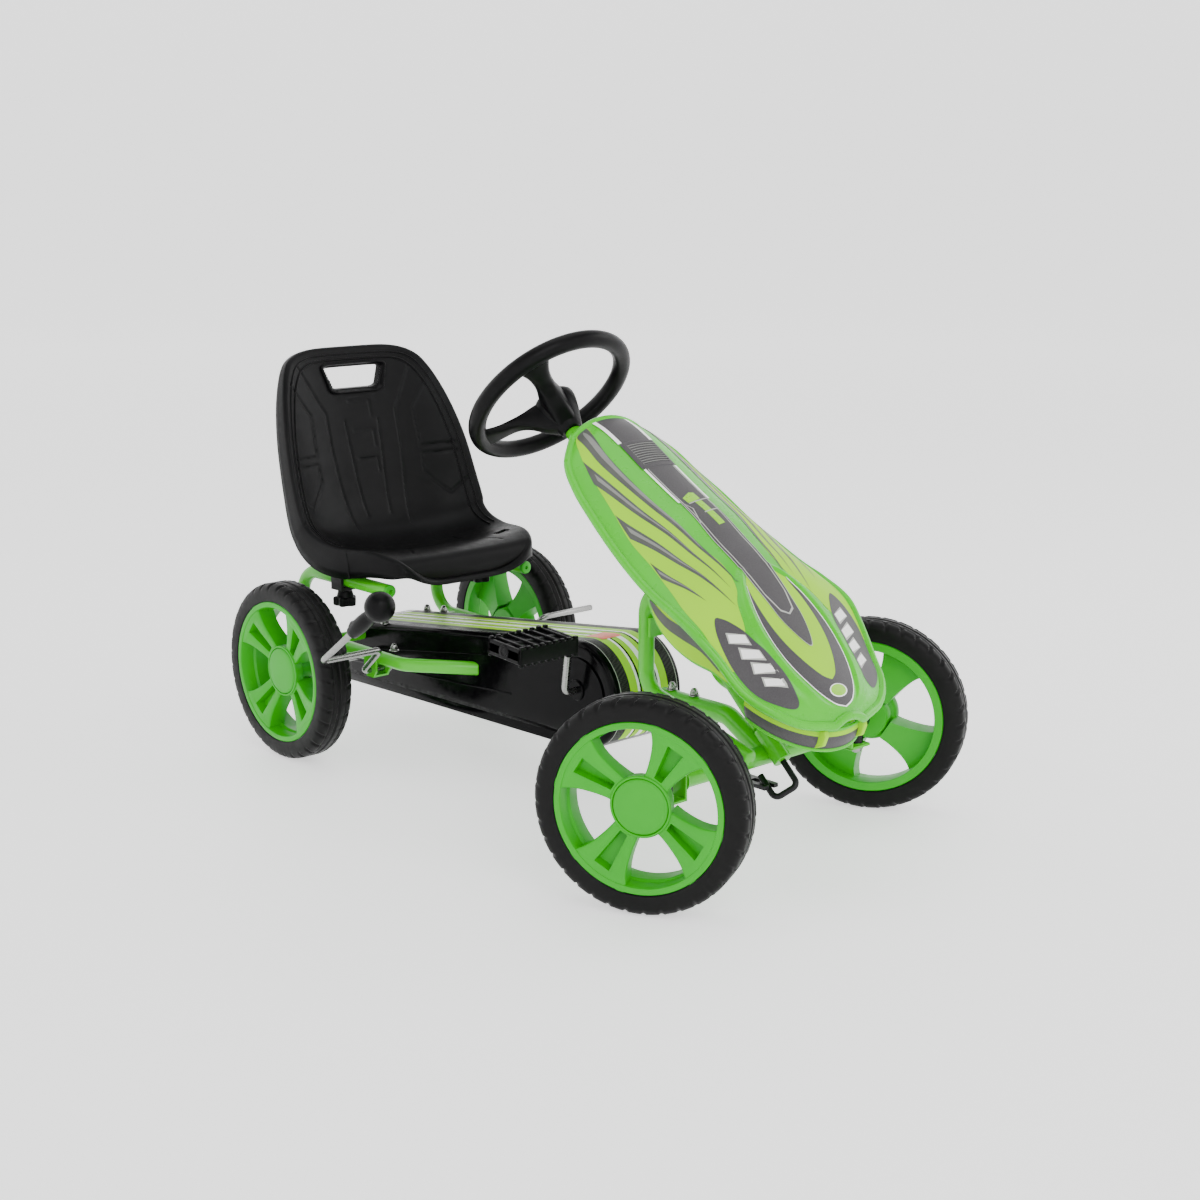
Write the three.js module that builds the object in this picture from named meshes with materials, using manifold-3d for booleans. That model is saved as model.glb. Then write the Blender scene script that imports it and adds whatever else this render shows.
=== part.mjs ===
// A child's pedal go-kart: four plastic wheels, a chain drive, hinged front knuckles,
// a bucket seat on rails, a shoe brake on the rear tyres and a moulded nose fairing.
// Millimetres, +Z up. The kart faces -Y, so +X is the driver's left.
// It is stored with the steering turned to the left, as its rest position.
import * as THREE from 'three';
import { mergeVertices } from 'three/addons/utils/BufferGeometryUtils.js';
import Module from 'manifold-3d';

const wasm = await Module();
wasm.setup();

// ---------- driving dimensions ----------
const GAP = 0.3;
const WHEEL_RADIUS = 127;
const TYRE_WIDTH = 48.3;
const RIM_RADIUS = 101;
const CAP_RADIUS = 33;
const CAP_INSET = 10;
const WHEELBASE = 732;
const REAR_FACE_X = 232.4;
const KINGPIN_X = 170;
const KINGPIN_TO_FACE = 99.2;
const REAR_AXLE_Y = 373;
const AXLE_ROD_R = 6;
const STUB_R = 5;

const STEER_ANGLE = THREE.MathUtils.degToRad(27.4);
const WHEEL_TURN = THREE.MathUtils.degToRad(45);
const STEER_ARM = 50;
const TIE_ROD_Z = 98.5;

const STEER_CENTRE = new THREE.Vector3(0, -331.9, 530.8);
const COLUMN_RAKE = THREE.MathUtils.degToRad(43.39);
const COLUMN_AXIS = new THREE.Vector3(0, Math.cos(COLUMN_RAKE), Math.sin(COLUMN_RAKE));
const STEER_RIM_R = 109;
const STEER_GRIP_R = 11.7;
const COLUMN_TUBE_R = 11;
const SHAFT_R = 4;
const HUB_DEPTH = 62;
const COLUMN_END = 540;
const SHAFT_END = 625;
const PITMAN_ARM = 32.5;

const BEAM_Z = WHEEL_RADIUS;
const BEAM_R = 12;
const LADDER_X = 38;
const LADDER_Z = 163;
const LADDER_R = 11;
const LADDER_FRONT_Y = -511;
const LADDER_REAR_Y = 30;
const LADDER_REAR_Z = 147;
const FRONT_TUBE_R = 9.5;
const SLEEVE_R = 12.5;

const SUPPORT_X = 60;
const SUPPORT_R = 10;
const POST_Y = -583;

const CRANK_Y = -455;
const CRANK_Z = 163;
const CRANK_ROD_R = 4.5;
const CRANK_THROW = 75;
const CRANK_LEAN = 10;
const CRANK_ARM_X = 84;
const PEDAL_X = [96, 192];
const CHAINRING_TEETH = 18;
const SPROCKET_TEETH = 9;
const CHAINRING_TIP = 40;
const SPROCKET_TIP = 21.5;
const CHAIN_THICK = 4;

const GUARD_X = 60;
const GUARD_WALL = 2.5;
const BARREL_Y = -455;
const BARREL_Z = 155;
const BARREL_R = 72;
const GUARD_REAR_Y = 76;

const RAIL_X = 123;
const RAIL_R = 9.5;
const RAIL_TOP_Z = 249.5;
const RAIL_LOW_Z = 149.5;
const RAIL_FRONT_Y = -127;
const RAIL_BACK_Y = 89;

const BRAKE_R = 4.5;
const BRAKE_PIVOT = [-95, 132];
const BRAKE_BAR = [-140, 172];
const BRAKE_LEVER_X = 246;
const BRAKE_LEG_X = 148;

// ---------- colours ----------
const FRAME_GREEN = { color: 0x6cc24a, roughness: 0.35, metalness: 0.1 };
const WHEEL_GREEN = { color: 0x4cb848, roughness: 0.5, metalness: 0 };
const MATTE_BLACK = { color: 0x141414, roughness: 0.6, metalness: 0 };
const GLOSS_BLACK = { color: 0x0d0d0e, roughness: 0.3, metalness: 0 };
const TYRE_BLACK = { color: 0x121214, roughness: 0.45, metalness: 0 };
const STEEL = { color: 0xc8c8c6, roughness: 0.25, metalness: 1 };
const DARK_STEEL = { color: 0x2a2a2c, roughness: 0.4, metalness: 0.8 };
const NYLON = { color: 0xd8d8d0, roughness: 0.6, metalness: 0 };

// ---------- solids ----------
function weld(geometry) {
  const bare = geometry.clone();
  bare.deleteAttribute('normal');
  bare.deleteAttribute('uv');
  return mergeVertices(bare, 1e-4);
}

function signedVolume(geometry) {
  const position = geometry.attributes.position;
  const corner = (i) => new THREE.Vector3().fromBufferAttribute(position, geometry.index.getX(i));
  let volume = 0;
  for (let i = 0; i < geometry.index.count; i += 3) {
    volume += corner(i).dot(corner(i + 1).cross(corner(i + 2))) / 6;
  }
  return volume;
}

// Welds a closed shape and turns its faces outwards.
function faceOut(geometry) {
  const welded = weld(geometry);
  if (signedVolume(welded) < 0) welded.index.array.reverse();
  welded.computeVertexNormals();
  return welded;
}

function toSolid(geometry) {
  const merged = faceOut(geometry);
  const vertProperties = new Float32Array(merged.attributes.position.array);
  const triVerts = new Uint32Array(merged.index.array);
  return new wasm.Manifold(new wasm.Mesh({ numProp: 3, vertProperties, triVerts }));
}

function toGeometry(solid) {
  const mesh = solid.getMesh();
  const geometry = new THREE.BufferGeometry();
  geometry.setAttribute('position', new THREE.BufferAttribute(mesh.vertProperties, 3));
  geometry.setIndex(new THREE.BufferAttribute(mesh.triVerts, 1));
  geometry.computeVertexNormals();
  return geometry;
}

function join(...pieces) {
  return toGeometry(pieces.map(toSolid).reduce((whole, piece) => whole.add(piece)));
}

function cut(geometry, ...tools) {
  return toGeometry(tools.map(toSolid).reduce((left, tool) => left.subtract(tool), toSolid(geometry)));
}

function vec(x, y, z) {
  return new THREE.Vector3(x, y, z);
}

const AXIS_X = vec(1, 0, 0);
const AXIS_Y = vec(0, 1, 0);
const AXIS_Z = vec(0, 0, 1);

// Turns a shape made around +Y so that its axis runs along another direction, then moves it.
function lay(geometry, axis, centre) {
  const turn = new THREE.Quaternion().setFromUnitVectors(AXIS_Y, axis.clone().normalize());
  return geometry.applyQuaternion(turn).translate(centre.x, centre.y, centre.z);
}

function cylinder(radius, length, axis, centre, sides = 12) {
  return lay(new THREE.CylinderGeometry(radius, radius, length, sides), axis, centre);
}

// A straight rod between two points.
function strut(radius, from, to, sides) {
  const run = to.clone().sub(from);
  return cylinder(radius, run.length(), run, from.clone().add(to).multiplyScalar(0.5), sides);
}

function cone(radiusEnd, radiusStart, length, axis, centre, sides = 12) {
  return lay(new THREE.CylinderGeometry(radiusEnd, radiusStart, length, sides), axis, centre);
}

function box(size, centre) {
  return new THREE.BoxGeometry(...size).translate(...centre);
}

// profile: [radius, distance along the axis] pairs, closed or ending on the axis.
function lathe(profile, axis, centre, segments = 24, start = 0) {
  const points = profile.map(([r, h]) => new THREE.Vector2(r, h));
  return lay(new THREE.LatheGeometry(points, segments, start), axis, centre);
}

function pipe(outer, inner, length, axis, centre, sides = 12) {
  const half = length / 2;
  const wall = [[inner, -half], [outer, -half], [outer, half], [inner, half], [inner, -half]];
  return lathe(wall, axis, centre, sides);
}

// ---------- bent tubes ----------
// A path of straight runs joined by arcs, sampled only where it bends.
class BentPath extends THREE.Curve {
  constructor(corners, bend, arcSteps) {
    super();
    this.stations = [corners[0].clone()];
    for (let i = 1; i < corners.length - 1; i += 1) {
      this.addBend(corners[i - 1], corners[i], corners[i + 1], bend, arcSteps);
    }
    this.stations.push(corners[corners.length - 1].clone());
  }

  addBend(before, corner, after, bend, arcSteps) {
    const inward = before.clone().sub(corner).normalize();
    const outward = after.clone().sub(corner).normalize();
    const half = inward.angleTo(outward) / 2;
    const setback = bend / Math.tan(half);
    const start = corner.clone().addScaledVector(inward, setback);
    const middle = inward.clone().add(outward).normalize();
    const centre = corner.clone().addScaledVector(middle, bend / Math.sin(half));
    const spoke = start.clone().sub(centre);
    const normal = spoke.clone().cross(corner.clone().sub(centre)).normalize();
    const sweep = Math.PI - 2 * half;
    for (let i = 0; i <= arcSteps; i += 1) {
      const arm = spoke.clone().applyAxisAngle(normal, (sweep * i) / arcSteps);
      this.stations.push(centre.clone().add(arm));
    }
  }

  get steps() {
    return this.stations.length - 1;
  }

  getPoint(t) {
    const place = t * this.steps;
    const i = Math.min(Math.floor(place), this.steps - 1);
    return this.stations[i].clone().lerp(this.stations[i + 1], place - i);
  }

  getPointAt(u) {
    return this.getPoint(u);
  }

  getTangentAt(u) {
    const i = Math.round(u * this.steps);
    const tangent = vec(0, 0, 0);
    if (i > 0) tangent.add(this.stations[i].clone().sub(this.stations[i - 1]).normalize());
    if (i < this.steps) tangent.add(this.stations[i + 1].clone().sub(this.stations[i]).normalize());
    return tangent.normalize();
  }
}

function roundSection(radius, sides) {
  const corners = [];
  for (let i = 0; i < sides; i += 1) {
    const angle = (2 * Math.PI * i) / sides;
    corners.push(new THREE.Vector2(radius * Math.cos(angle), radius * Math.sin(angle)));
  }
  return new THREE.Shape(corners);
}

function bentTube(corners, radius, bend, { sides = 10, arcSteps = 4 } = {}) {
  const path = new BentPath(corners, bend, arcSteps);
  const options = { extrudePath: path, steps: path.steps, bevelEnabled: false };
  return new THREE.ExtrudeGeometry(roundSection(radius, sides), options);
}

// ---------- sheets ----------
// A closed shell between two grids of points, with its four edges sealed.
function shellSolid(columns, rows, outer, inner) {
  const positions = [];
  for (const surface of [outer, inner]) {
    for (let j = 0; j <= rows; j += 1) {
      for (let i = 0; i <= columns; i += 1) positions.push(...surface(i / columns, j / rows));
    }
  }
  const wide = columns + 1;
  const layer = wide * (rows + 1);
  const index = [];
  const quad = (a, b, c, d) => index.push(a, b, c, a, c, d);
  for (let j = 0; j < rows; j += 1) {
    for (let i = 0; i < columns; i += 1) {
      const k = j * wide + i;
      quad(k, k + 1, k + wide + 1, k + wide);
      quad(layer + k, layer + k + wide, layer + k + wide + 1, layer + k + 1);
    }
  }
  for (let i = 0; i < columns; i += 1) {
    const top = rows * wide + i;
    quad(i + 1, i, layer + i, layer + i + 1);
    quad(top, top + 1, layer + top + 1, layer + top);
  }
  for (let j = 0; j < rows; j += 1) {
    const left = j * wide;
    const right = left + columns;
    quad(left, left + wide, layer + left + wide, layer + left);
    quad(right + wide, right, layer + right, layer + right + wide);
  }
  const geometry = new THREE.BufferGeometry();
  geometry.setAttribute('position', new THREE.Float32BufferAttribute(positions, 3));
  geometry.setIndex(index);
  geometry.computeVertexNormals();
  return geometry;
}

// Reads a smooth value from a short list of [station, value, value, ...] rows.
function blendRows(rows, station) {
  let k = 0;
  while (k < rows.length - 2 && rows[k + 1][0] < station) k += 1;
  const t = (station - rows[k][0]) / (rows[k + 1][0] - rows[k][0]);
  return rows[k].slice(1).map((value, n) => value + t * (rows[k + 1][n + 1] - value));
}

// A flat plate cut from an outline in the side view, [y, z] pairs, between two x values.
function sidePlate(outline, xLow, xHigh, holes = []) {
  const shape = new THREE.Shape(outline.map(([y, z]) => new THREE.Vector2(y, z)));
  for (const hole of holes) {
    shape.holes.push(new THREE.Path(hole.map(([y, z]) => new THREE.Vector2(y, z))));
  }
  const plate = new THREE.ExtrudeGeometry(shape, { depth: xHigh - xLow, bevelEnabled: false });
  const basis = new THREE.Matrix4().makeBasis(AXIS_Y, AXIS_Z, AXIS_X);
  return plate.applyMatrix4(basis).translate(xLow, 0, 0);
}

function arc(cy, cz, radius, from, to, steps) {
  const points = [];
  for (let i = 0; i <= steps; i += 1) {
    const angle = THREE.MathUtils.degToRad(from + ((to - from) * i) / steps);
    points.push([cy + radius * Math.cos(angle), cz + radius * Math.sin(angle)]);
  }
  return points;
}

// ---------- scene ----------
const kart = new THREE.Group();
kart.position.y = REAR_AXLE_Y;

function add(name, geometry, finish, parent = kart) {
  const mesh = new THREE.Mesh(faceOut(geometry), new THREE.MeshStandardMaterial(finish));
  mesh.name = name;
  parent.add(mesh);
  return mesh;
}

const SIDES = [['right', -1], ['left', 1]];

// ---------- wheels: built on +X, outer face at x = 0 and the car on the -X side ----------
const WHEEL_SEGMENTS = 32;

const HALF_SEGMENT = Math.PI / WHEEL_SEGMENTS;

// The tread is a ring of flats, one of which stands on the floor.
function tyreGeometry() {
  const w = TYRE_WIDTH;
  const r = WHEEL_RADIUS / Math.cos(HALF_SEGMENT);
  const b = RIM_RADIUS + GAP;
  const profile = [
    [b, -1], [b + 14, 0], [r - 3, -3.5], [r, -9],
    [r, -w + 9], [r - 3, -w + 3.5], [b + 14, -w], [b, -w + 1], [b, -1],
  ];
  return lathe(profile, AXIS_X, vec(0, 0, 0), WHEEL_SEGMENTS, HALF_SEGMENT);
}

const SPOKE_COUNT = 4;
const SPOKE_FACE = -4;
const SPOKE_BACK = -26;

// The rim is a barrel and a stepped hub, joined by four broad spokes.
function rimGeometry(boreRadius, phase) {
  const w = TYRE_WIDTH;
  const barrel = [
    [RIM_RADIUS, -1.5], [RIM_RADIUS, -w + 1.5], [RIM_RADIUS - 7, -w + 1.5],
    [RIM_RADIUS - 8, -1.5], [RIM_RADIUS, -1.5],
  ];
  const hub = [
    [boreRadius, -14.5], [CAP_RADIUS + GAP, -14.5], [CAP_RADIUS + GAP, -CAP_INSET - 0.5],
    [CAP_RADIUS + 3.5, -CAP_INSET - 0.5], [CAP_RADIUS + 3.5, -24],
    [20, -w], [boreRadius, -w], [boreRadius, -14.5],
  ];
  const pieces = [
    lathe(barrel, AXIS_X, vec(0, 0, 0), WHEEL_SEGMENTS, HALF_SEGMENT),
    lathe(hub, AXIS_X, vec(0, 0, 0), 14),
  ];
  for (let i = 0; i < SPOKE_COUNT; i += 1) {
    pieces.push(spokeGeometry().rotateX(phase + (2 * Math.PI * i) / SPOKE_COUNT));
  }
  return join(...pieces);
}

// One spoke along +Y, flaring where it meets the barrel.
function spokeGeometry() {
  const inner = CAP_RADIUS + 1.5;
  const middle = RIM_RADIUS - 33;
  const flare = RIM_RADIUS - 13;
  const end = RIM_RADIUS - 6;
  const half = [[inner, 17], [middle, 25], [flare, 32], [end, 32]];
  const outline = [...half.map(([r, across]) => [r, -across]), ...half.reverse()];
  return sidePlate(outline, SPOKE_BACK, SPOKE_FACE);
}

function capGeometry() {
  const r = CAP_RADIUS;
  const profile = [[0, -CAP_INSET - 4.2], [r, -CAP_INSET - 4.2], [r - 1, -CAP_INSET], [0, -CAP_INSET]];
  return lathe(profile, AXIS_X, vec(0, 0, 0), 14);
}

// Spoke phases as the wheels happen to stand.
const WHEEL_PHASE = { front_right: 59, front_left: 31, rear_right: 51, rear_left: 39 };

function addWheel(label, parent, faceX, side, boreRadius) {
  const wheel = new THREE.Group();
  wheel.position.set(side * faceX, 0, 0);
  wheel.rotation.z = side > 0 ? 0 : Math.PI;
  parent.add(wheel);
  const phase = THREE.MathUtils.degToRad(WHEEL_PHASE[label]);
  add(`tyre_${label}`, tyreGeometry(), TYRE_BLACK, wheel);
  add(`rim_${label}`, rimGeometry(boreRadius, phase), WHEEL_GREEN, wheel);
  add(`hub_cap_${label}`, capGeometry(), WHEEL_GREEN, wheel);
}

function addRearWheels() {
  const axle = new THREE.Group();
  axle.position.z = WHEEL_RADIUS;
  kart.add(axle);
  for (const [label, side] of SIDES) {
    addWheel(`rear_${label}`, axle, REAR_FACE_X, side, AXLE_ROD_R + 0.4);
  }
  const rodLength = 2 * (REAR_FACE_X - CAP_INSET - 6);
  add('rear_axle', cylinder(AXLE_ROD_R, rodLength, AXIS_X, vec(0, 0, 0)), STEEL, axle);
  const rearSprocket = sprocket(SPROCKET_TEETH, SPROCKET_TIP, AXLE_ROD_R + GAP);
  add('rear_sprocket', rearSprocket, DARK_STEEL, axle);
}

// ---------- sprockets and chain ----------
function toothedOutline(teeth, tip) {
  const root = tip - 6;
  const corners = [];
  for (let i = 0; i < teeth; i += 1) {
    for (const [share, radius] of [[0, root], [0.4, tip], [0.6, tip]]) {
      const angle = (2 * Math.PI * (i + share)) / teeth;
      corners.push([radius * Math.cos(angle), radius * Math.sin(angle)]);
    }
  }
  return corners;
}

function sprocket(teeth, tip, boreRadius) {
  const disc = sidePlate(toothedOutline(teeth, tip), -2, 2);
  const boss = cylinder(boreRadius + 5, 16, AXIS_X, vec(0, 0, 0));
  const bore = cylinder(boreRadius, 30, AXIS_X, vec(0, 0, 0));
  return cut(join(disc, boss), bore);
}

// The loop that wraps both sprockets at a given radius beyond their tips.
function beltOutline(extra) {
  const small = SPROCKET_TIP + extra;
  const large = CHAINRING_TIP + extra;
  const dy = -CRANK_Y;
  const dz = CRANK_Z - WHEEL_RADIUS;
  const span = Math.hypot(dy, dz);
  const lean = THREE.MathUtils.radToDeg(Math.atan2(dz, -dy));
  const wrap = THREE.MathUtils.radToDeg(Math.acos((large - small) / span));
  const nose = arc(CRANK_Y, CRANK_Z, large, lean + (180 - wrap), lean - (180 - wrap), 14);
  const tail = arc(0, WHEEL_RADIUS, small, lean - (180 - wrap), lean - 360 + (180 - wrap), 8);
  return nose.concat(tail);
}

function chainGeometry() {
  const clear = 0.7;
  return sidePlate(beltOutline(clear + CHAIN_THICK), -4, 4, [beltOutline(clear).reverse()]);
}

// ---------- main frame ----------
const FRONT_TUBE_END_Y = -625;
const SLEEVE_START_Y = -552;
const SLEEVE_BEND_Y = -668;
const FRAME_BOLTS_Y = [-568, -608];
const FRAME_BOLT_R = 3;
const HANGER_LOW_Z = 108;
const CRANK_BUSH_R = 7;

function mainFrame() {
  const pieces = [];
  const tools = [];
  for (const [, side] of SIDES) {
    const x = side * LADDER_X;
    const front = vec(x, LADDER_FRONT_Y, LADDER_Z);
    pieces.push(strut(LADDER_R, front, vec(x, LADDER_REAR_Y, LADDER_REAR_Z)));
    const hanger = [[-20, LADDER_REAR_Z], [-14, HANGER_LOW_Z], [14, HANGER_LOW_Z], [20, LADDER_REAR_Z]];
    pieces.push(sidePlate(hanger, x - 2, x + 2));
    tools.push(cylinder(9.3, 30, AXIS_X, vec(x, 0, WHEEL_RADIUS)));
    tools.push(cylinder(CRANK_BUSH_R + GAP, 40, AXIS_X, vec(x, CRANK_Y, CRANK_Z)));
  }
  pieces.push(cylinder(9, 2 * LADDER_X, AXIS_X, vec(0, LADDER_FRONT_Y, LADDER_Z)));
  const crossLength = 2 * (RAIL_X - RAIL_R - GAP);
  pieces.push(cylinder(8, crossLength, AXIS_X, vec(0, LADDER_REAR_Y, RAIL_LOW_Z)));
  const tubeLength = LADDER_FRONT_Y - FRONT_TUBE_END_Y;
  const tubeMiddle = (LADDER_FRONT_Y + FRONT_TUBE_END_Y) / 2;
  pieces.push(cylinder(FRONT_TUBE_R, tubeLength, AXIS_Y, vec(0, tubeMiddle, LADDER_Z)));
  for (const y of FRAME_BOLTS_Y) tools.push(frameBoltHole(y));
  return cut(join(...pieces), ...tools);
}

function frameBoltHole(y) {
  return cylinder(FRAME_BOLT_R + 0.4, 60, AXIS_Z, vec(0, y, LADDER_Z), 10);
}

// An acorn-nutted bolt standing through the sleeve and the front tube.
function frameBolt(y) {
  const top = LADDER_Z + SLEEVE_R + GAP;
  const low = LADDER_Z - SLEEVE_R - GAP;
  const profile = [
    [0, low - 5], [5.5, low - 5], [5.5, low], [FRAME_BOLT_R, low], [FRAME_BOLT_R, top], [5.5, top],
    [5.5, top + 4.5], [3, top + 9], [0, top + 9.6],
  ];
  return lathe(profile, AXIS_Z, vec(0, y, 0), 8);
}

// ---------- front axle ----------
const YOKE_INNER_X = 146;
const EAR_GAP = 39;
const EAR_THICK = 4;
const COLUMN_BUSH_END = 590;
const COLUMN_BUSH_R = 12;

function columnPoint(t) {
  return STEER_CENTRE.clone().addScaledVector(COLUMN_AXIS, -t);
}

function frontAxleBeam() {
  const beamY = -WHEELBASE;
  const pieces = [cylinder(BEAM_R, 2 * YOKE_INNER_X + 2, AXIS_X, vec(0, beamY, BEAM_Z))];
  const tools = [];
  for (const [, side] of SIDES) {
    const x = side * KINGPIN_X;
    const earLength = KINGPIN_X + 13 - YOKE_INNER_X;
    const earX = side * (YOKE_INNER_X + earLength / 2);
    for (const up of [-1, 1]) {
      const earZ = BEAM_Z + up * (EAR_GAP + EAR_THICK) / 2;
      pieces.push(box([earLength, 26, EAR_THICK], [earX, beamY, earZ]));
    }
    const backHeight = EAR_GAP + 2 * EAR_THICK;
    pieces.push(box([4, 26, backHeight], [side * (YOKE_INNER_X + 2), beamY, BEAM_Z]));
    tools.push(cylinder(4.4, 80, AXIS_Z, vec(x, beamY, BEAM_Z), 12));
  }
  const sleeve = [
    vec(0, SLEEVE_START_Y, LADDER_Z), vec(0, SLEEVE_BEND_Y, LADDER_Z), vec(0, beamY + 6, BEAM_Z + 3),
  ];
  pieces.push(bentTube(sleeve, SLEEVE_R, 30, { sides: 12, arcSteps: 3 }));
  const bushMiddle = columnPoint((COLUMN_END + 2 + COLUMN_BUSH_END) / 2);
  pieces.push(cylinder(COLUMN_BUSH_R, COLUMN_BUSH_END - COLUMN_END - 2, COLUMN_AXIS, bushMiddle));
  tools.push(cylinder(SHAFT_R + 0.5, 90, COLUMN_AXIS, bushMiddle));
  const socketStart = SLEEVE_START_Y + 2;
  const socketEnd = FRONT_TUBE_END_Y - 4;
  const socketMiddle = vec(0, (socketStart + socketEnd) / 2, LADDER_Z);
  tools.push(cylinder(FRONT_TUBE_R + GAP, socketStart - socketEnd, AXIS_Y, socketMiddle));
  for (const y of FRAME_BOLTS_Y) tools.push(frameBoltHole(y));
  return cut(join(...pieces), ...tools);
}

function kingpinBolt() {
  const low = BEAM_Z - EAR_GAP / 2 - EAR_THICK - GAP;
  const top = BEAM_Z + EAR_GAP / 2 + EAR_THICK + GAP;
  const profile = [
    [0, low - 8], [6.5, low - 8], [6.5, low], [4, low], [4, top], [7, top], [7, top + 5], [0, top + 5],
  ];
  return lathe(profile, AXIS_Z, vec(0, 0, 0), 10);
}

// ---------- knuckles: built at the kingpin with the wheel straight ahead ----------
function knuckle(side) {
  const barrelHeight = EAR_GAP - 1;
  const barrel = cylinder(9, barrelHeight, AXIS_Z, vec(0, 0, 0));
  const stubLength = KINGPIN_TO_FACE - CAP_INSET - 6;
  const stub = cylinder(STUB_R, stubLength, AXIS_X, vec((side * stubLength) / 2, 0, 0));
  const collar = cylinder(9, 30, AXIS_X, vec(side * 22, 0, 0));
  const armZ = TIE_ROD_Z - BEAM_Z + 15;
  const arm = box([12, STEER_ARM + 7, 6], [0, (STEER_ARM + 7) / 2, armZ]);
  const pin = cylinder(3, 22, AXIS_Z, vec(0, STEER_ARM, armZ - 11), 12);
  const bore = cylinder(4.4, 60, AXIS_Z, vec(0, 0, 0), 12);
  return cut(join(barrel, stub, collar, arm, pin), bore);
}

function addFrontCorner(label, side) {
  const corner = new THREE.Group();
  corner.position.set(side * KINGPIN_X, -WHEELBASE, WHEEL_RADIUS);
  corner.rotation.z = STEER_ANGLE;
  kart.add(corner);
  add(`knuckle_${label}`, knuckle(side), DARK_STEEL, corner);
  addWheel(`front_${label}`, corner, KINGPIN_TO_FACE, side, STUB_R + 0.4);
  const bolt = kingpinBolt().translate(side * KINGPIN_X, -WHEELBASE, 0);
  add(`kingpin_bolt_${label}`, bolt, STEEL);
}

// The tie rod joins the two steering arms; its fork takes the crank pin of the steering shaft.
function tieRod() {
  const reach = 2 * KINGPIN_X;
  const middleX = -STEER_ARM * Math.sin(STEER_ANGLE);
  const middleY = -WHEELBASE + STEER_ARM * Math.cos(STEER_ANGLE);
  const middle = vec(middleX, middleY, TIE_ROD_Z);
  const pieces = [cylinder(4, reach - 14, AXIS_X, middle)];
  const tools = [];
  for (const [, side] of SIDES) {
    const eye = middle.clone().add(vec((side * reach) / 2, 0, 0));
    pieces.push(cylinder(8, 9, AXIS_Z, eye));
    tools.push(cylinder(3.4, 20, AXIS_Z, eye, 12));
  }
  const forkLength = 76;
  pieces.push(box([24, forkLength, 5], [middle.x, middle.y - forkLength / 2, TIE_ROD_Z]));
  tools.push(box([9.6, 32, 20], [middle.x, middle.y - forkLength + 15, TIE_ROD_Z]));
  return cut(join(...pieces), ...tools);
}

// ---------- steering: built along +Z of its own group, which looks along the column ----------
function steeringGroup() {
  const group = new THREE.Group();
  group.position.copy(STEER_CENTRE);
  const turn = new THREE.Quaternion().setFromAxisAngle(COLUMN_AXIS, WHEEL_TURN);
  const rake = new THREE.Quaternion().setFromUnitVectors(AXIS_Z, COLUMN_AXIS);
  group.quaternion.copy(turn.multiply(rake));
  kart.add(group);
  return group;
}

// Spokes at three, nine and six o'clock run down from the grip to a deep conical hub.
function steeringWheel() {
  const grip = new THREE.TorusGeometry(STEER_RIM_R, STEER_GRIP_R, 8, 30);
  const hub = lathe([
    [0, -8], [32, -8], [34, -14], [26, -34], [17, -HUB_DEPTH], [0, -HUB_DEPTH],
  ], AXIS_Z, vec(0, 0, 0), 16);
  const pieces = [grip, hub];
  for (const angle of [0, 90, 180]) {
    const spoke = new THREE.CylinderGeometry(1, 1, 1, 4, 1).rotateY(Math.PI / 4);
    spoke.scale(24 * Math.SQRT1_2 * 1.4, 84, 11 * Math.SQRT1_2);
    spoke.rotateZ(-Math.PI / 2).translate(64, 0, -14);
    pieces.push(spoke.rotateZ(THREE.MathUtils.degToRad(angle)));
  }
  const socket = cylinder(SHAFT_R + GAP, 60, AXIS_Z, vec(0, 0, -HUB_DEPTH + 10));
  return cut(join(...pieces), socket);
}

function addSteering() {
  const group = steeringGroup();
  add('steering_wheel', steeringWheel(), MATTE_BLACK, group);
  const capProfile = [[0, -7.7], [27, -7.7], [25, -4.5], [0, -3.2]];
  add('steering_wheel_cap', lathe(capProfile, AXIS_Z, vec(0, 0, 0), 16), GLOSS_BLACK, group);
  const tubeLength = COLUMN_END - HUB_DEPTH - 1;
  const tubeMiddle = vec(0, 0, -(HUB_DEPTH + 0.5 + tubeLength / 2));
  const tube = pipe(COLUMN_TUBE_R, SHAFT_R + GAP, tubeLength, AXIS_Z, tubeMiddle);
  add('steering_column', tube, FRAME_GREEN, group);
  add('steering_shaft', steeringShaft(), DARK_STEEL, group);
}

// The shaft ends in a crank: down, across by the arm, and back up as a pin.
function steeringShaft() {
  const corners = [
    vec(0, 0, -28), vec(0, 0, -SHAFT_END), vec(0, PITMAN_ARM, -SHAFT_END), vec(0, PITMAN_ARM, -590),
  ];
  return bentTube(corners, SHAFT_R, 8, { sides: 8, arcSteps: 3 });
}

// ---------- fairing supports ----------
function supportTube(side) {
  const x = side * SUPPORT_X;
  const corners = [
    vec(x, -668, 362), vec(x, POST_Y, 304), vec(x, POST_Y, 191), vec(x, -764, 141.5),
  ];
  return bentTube(corners, SUPPORT_R, 34);
}

// A strap across the two posts, with a ring that steadies the steering column.
function columnBracket() {
  const strapY = POST_Y - SUPPORT_R - GAP - 2;
  const strap = box([2 * SUPPORT_X + 14, 4, 24], [0, strapY, 272]);
  const ringAt = columnPoint(362);
  const ring = cylinder(17, 24, COLUMN_AXIS, ringAt);
  const bore = cylinder(COLUMN_TUBE_R + 0.4, 60, COLUMN_AXIS, ringAt);
  return cut(join(strap, ring), bore);
}

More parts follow.
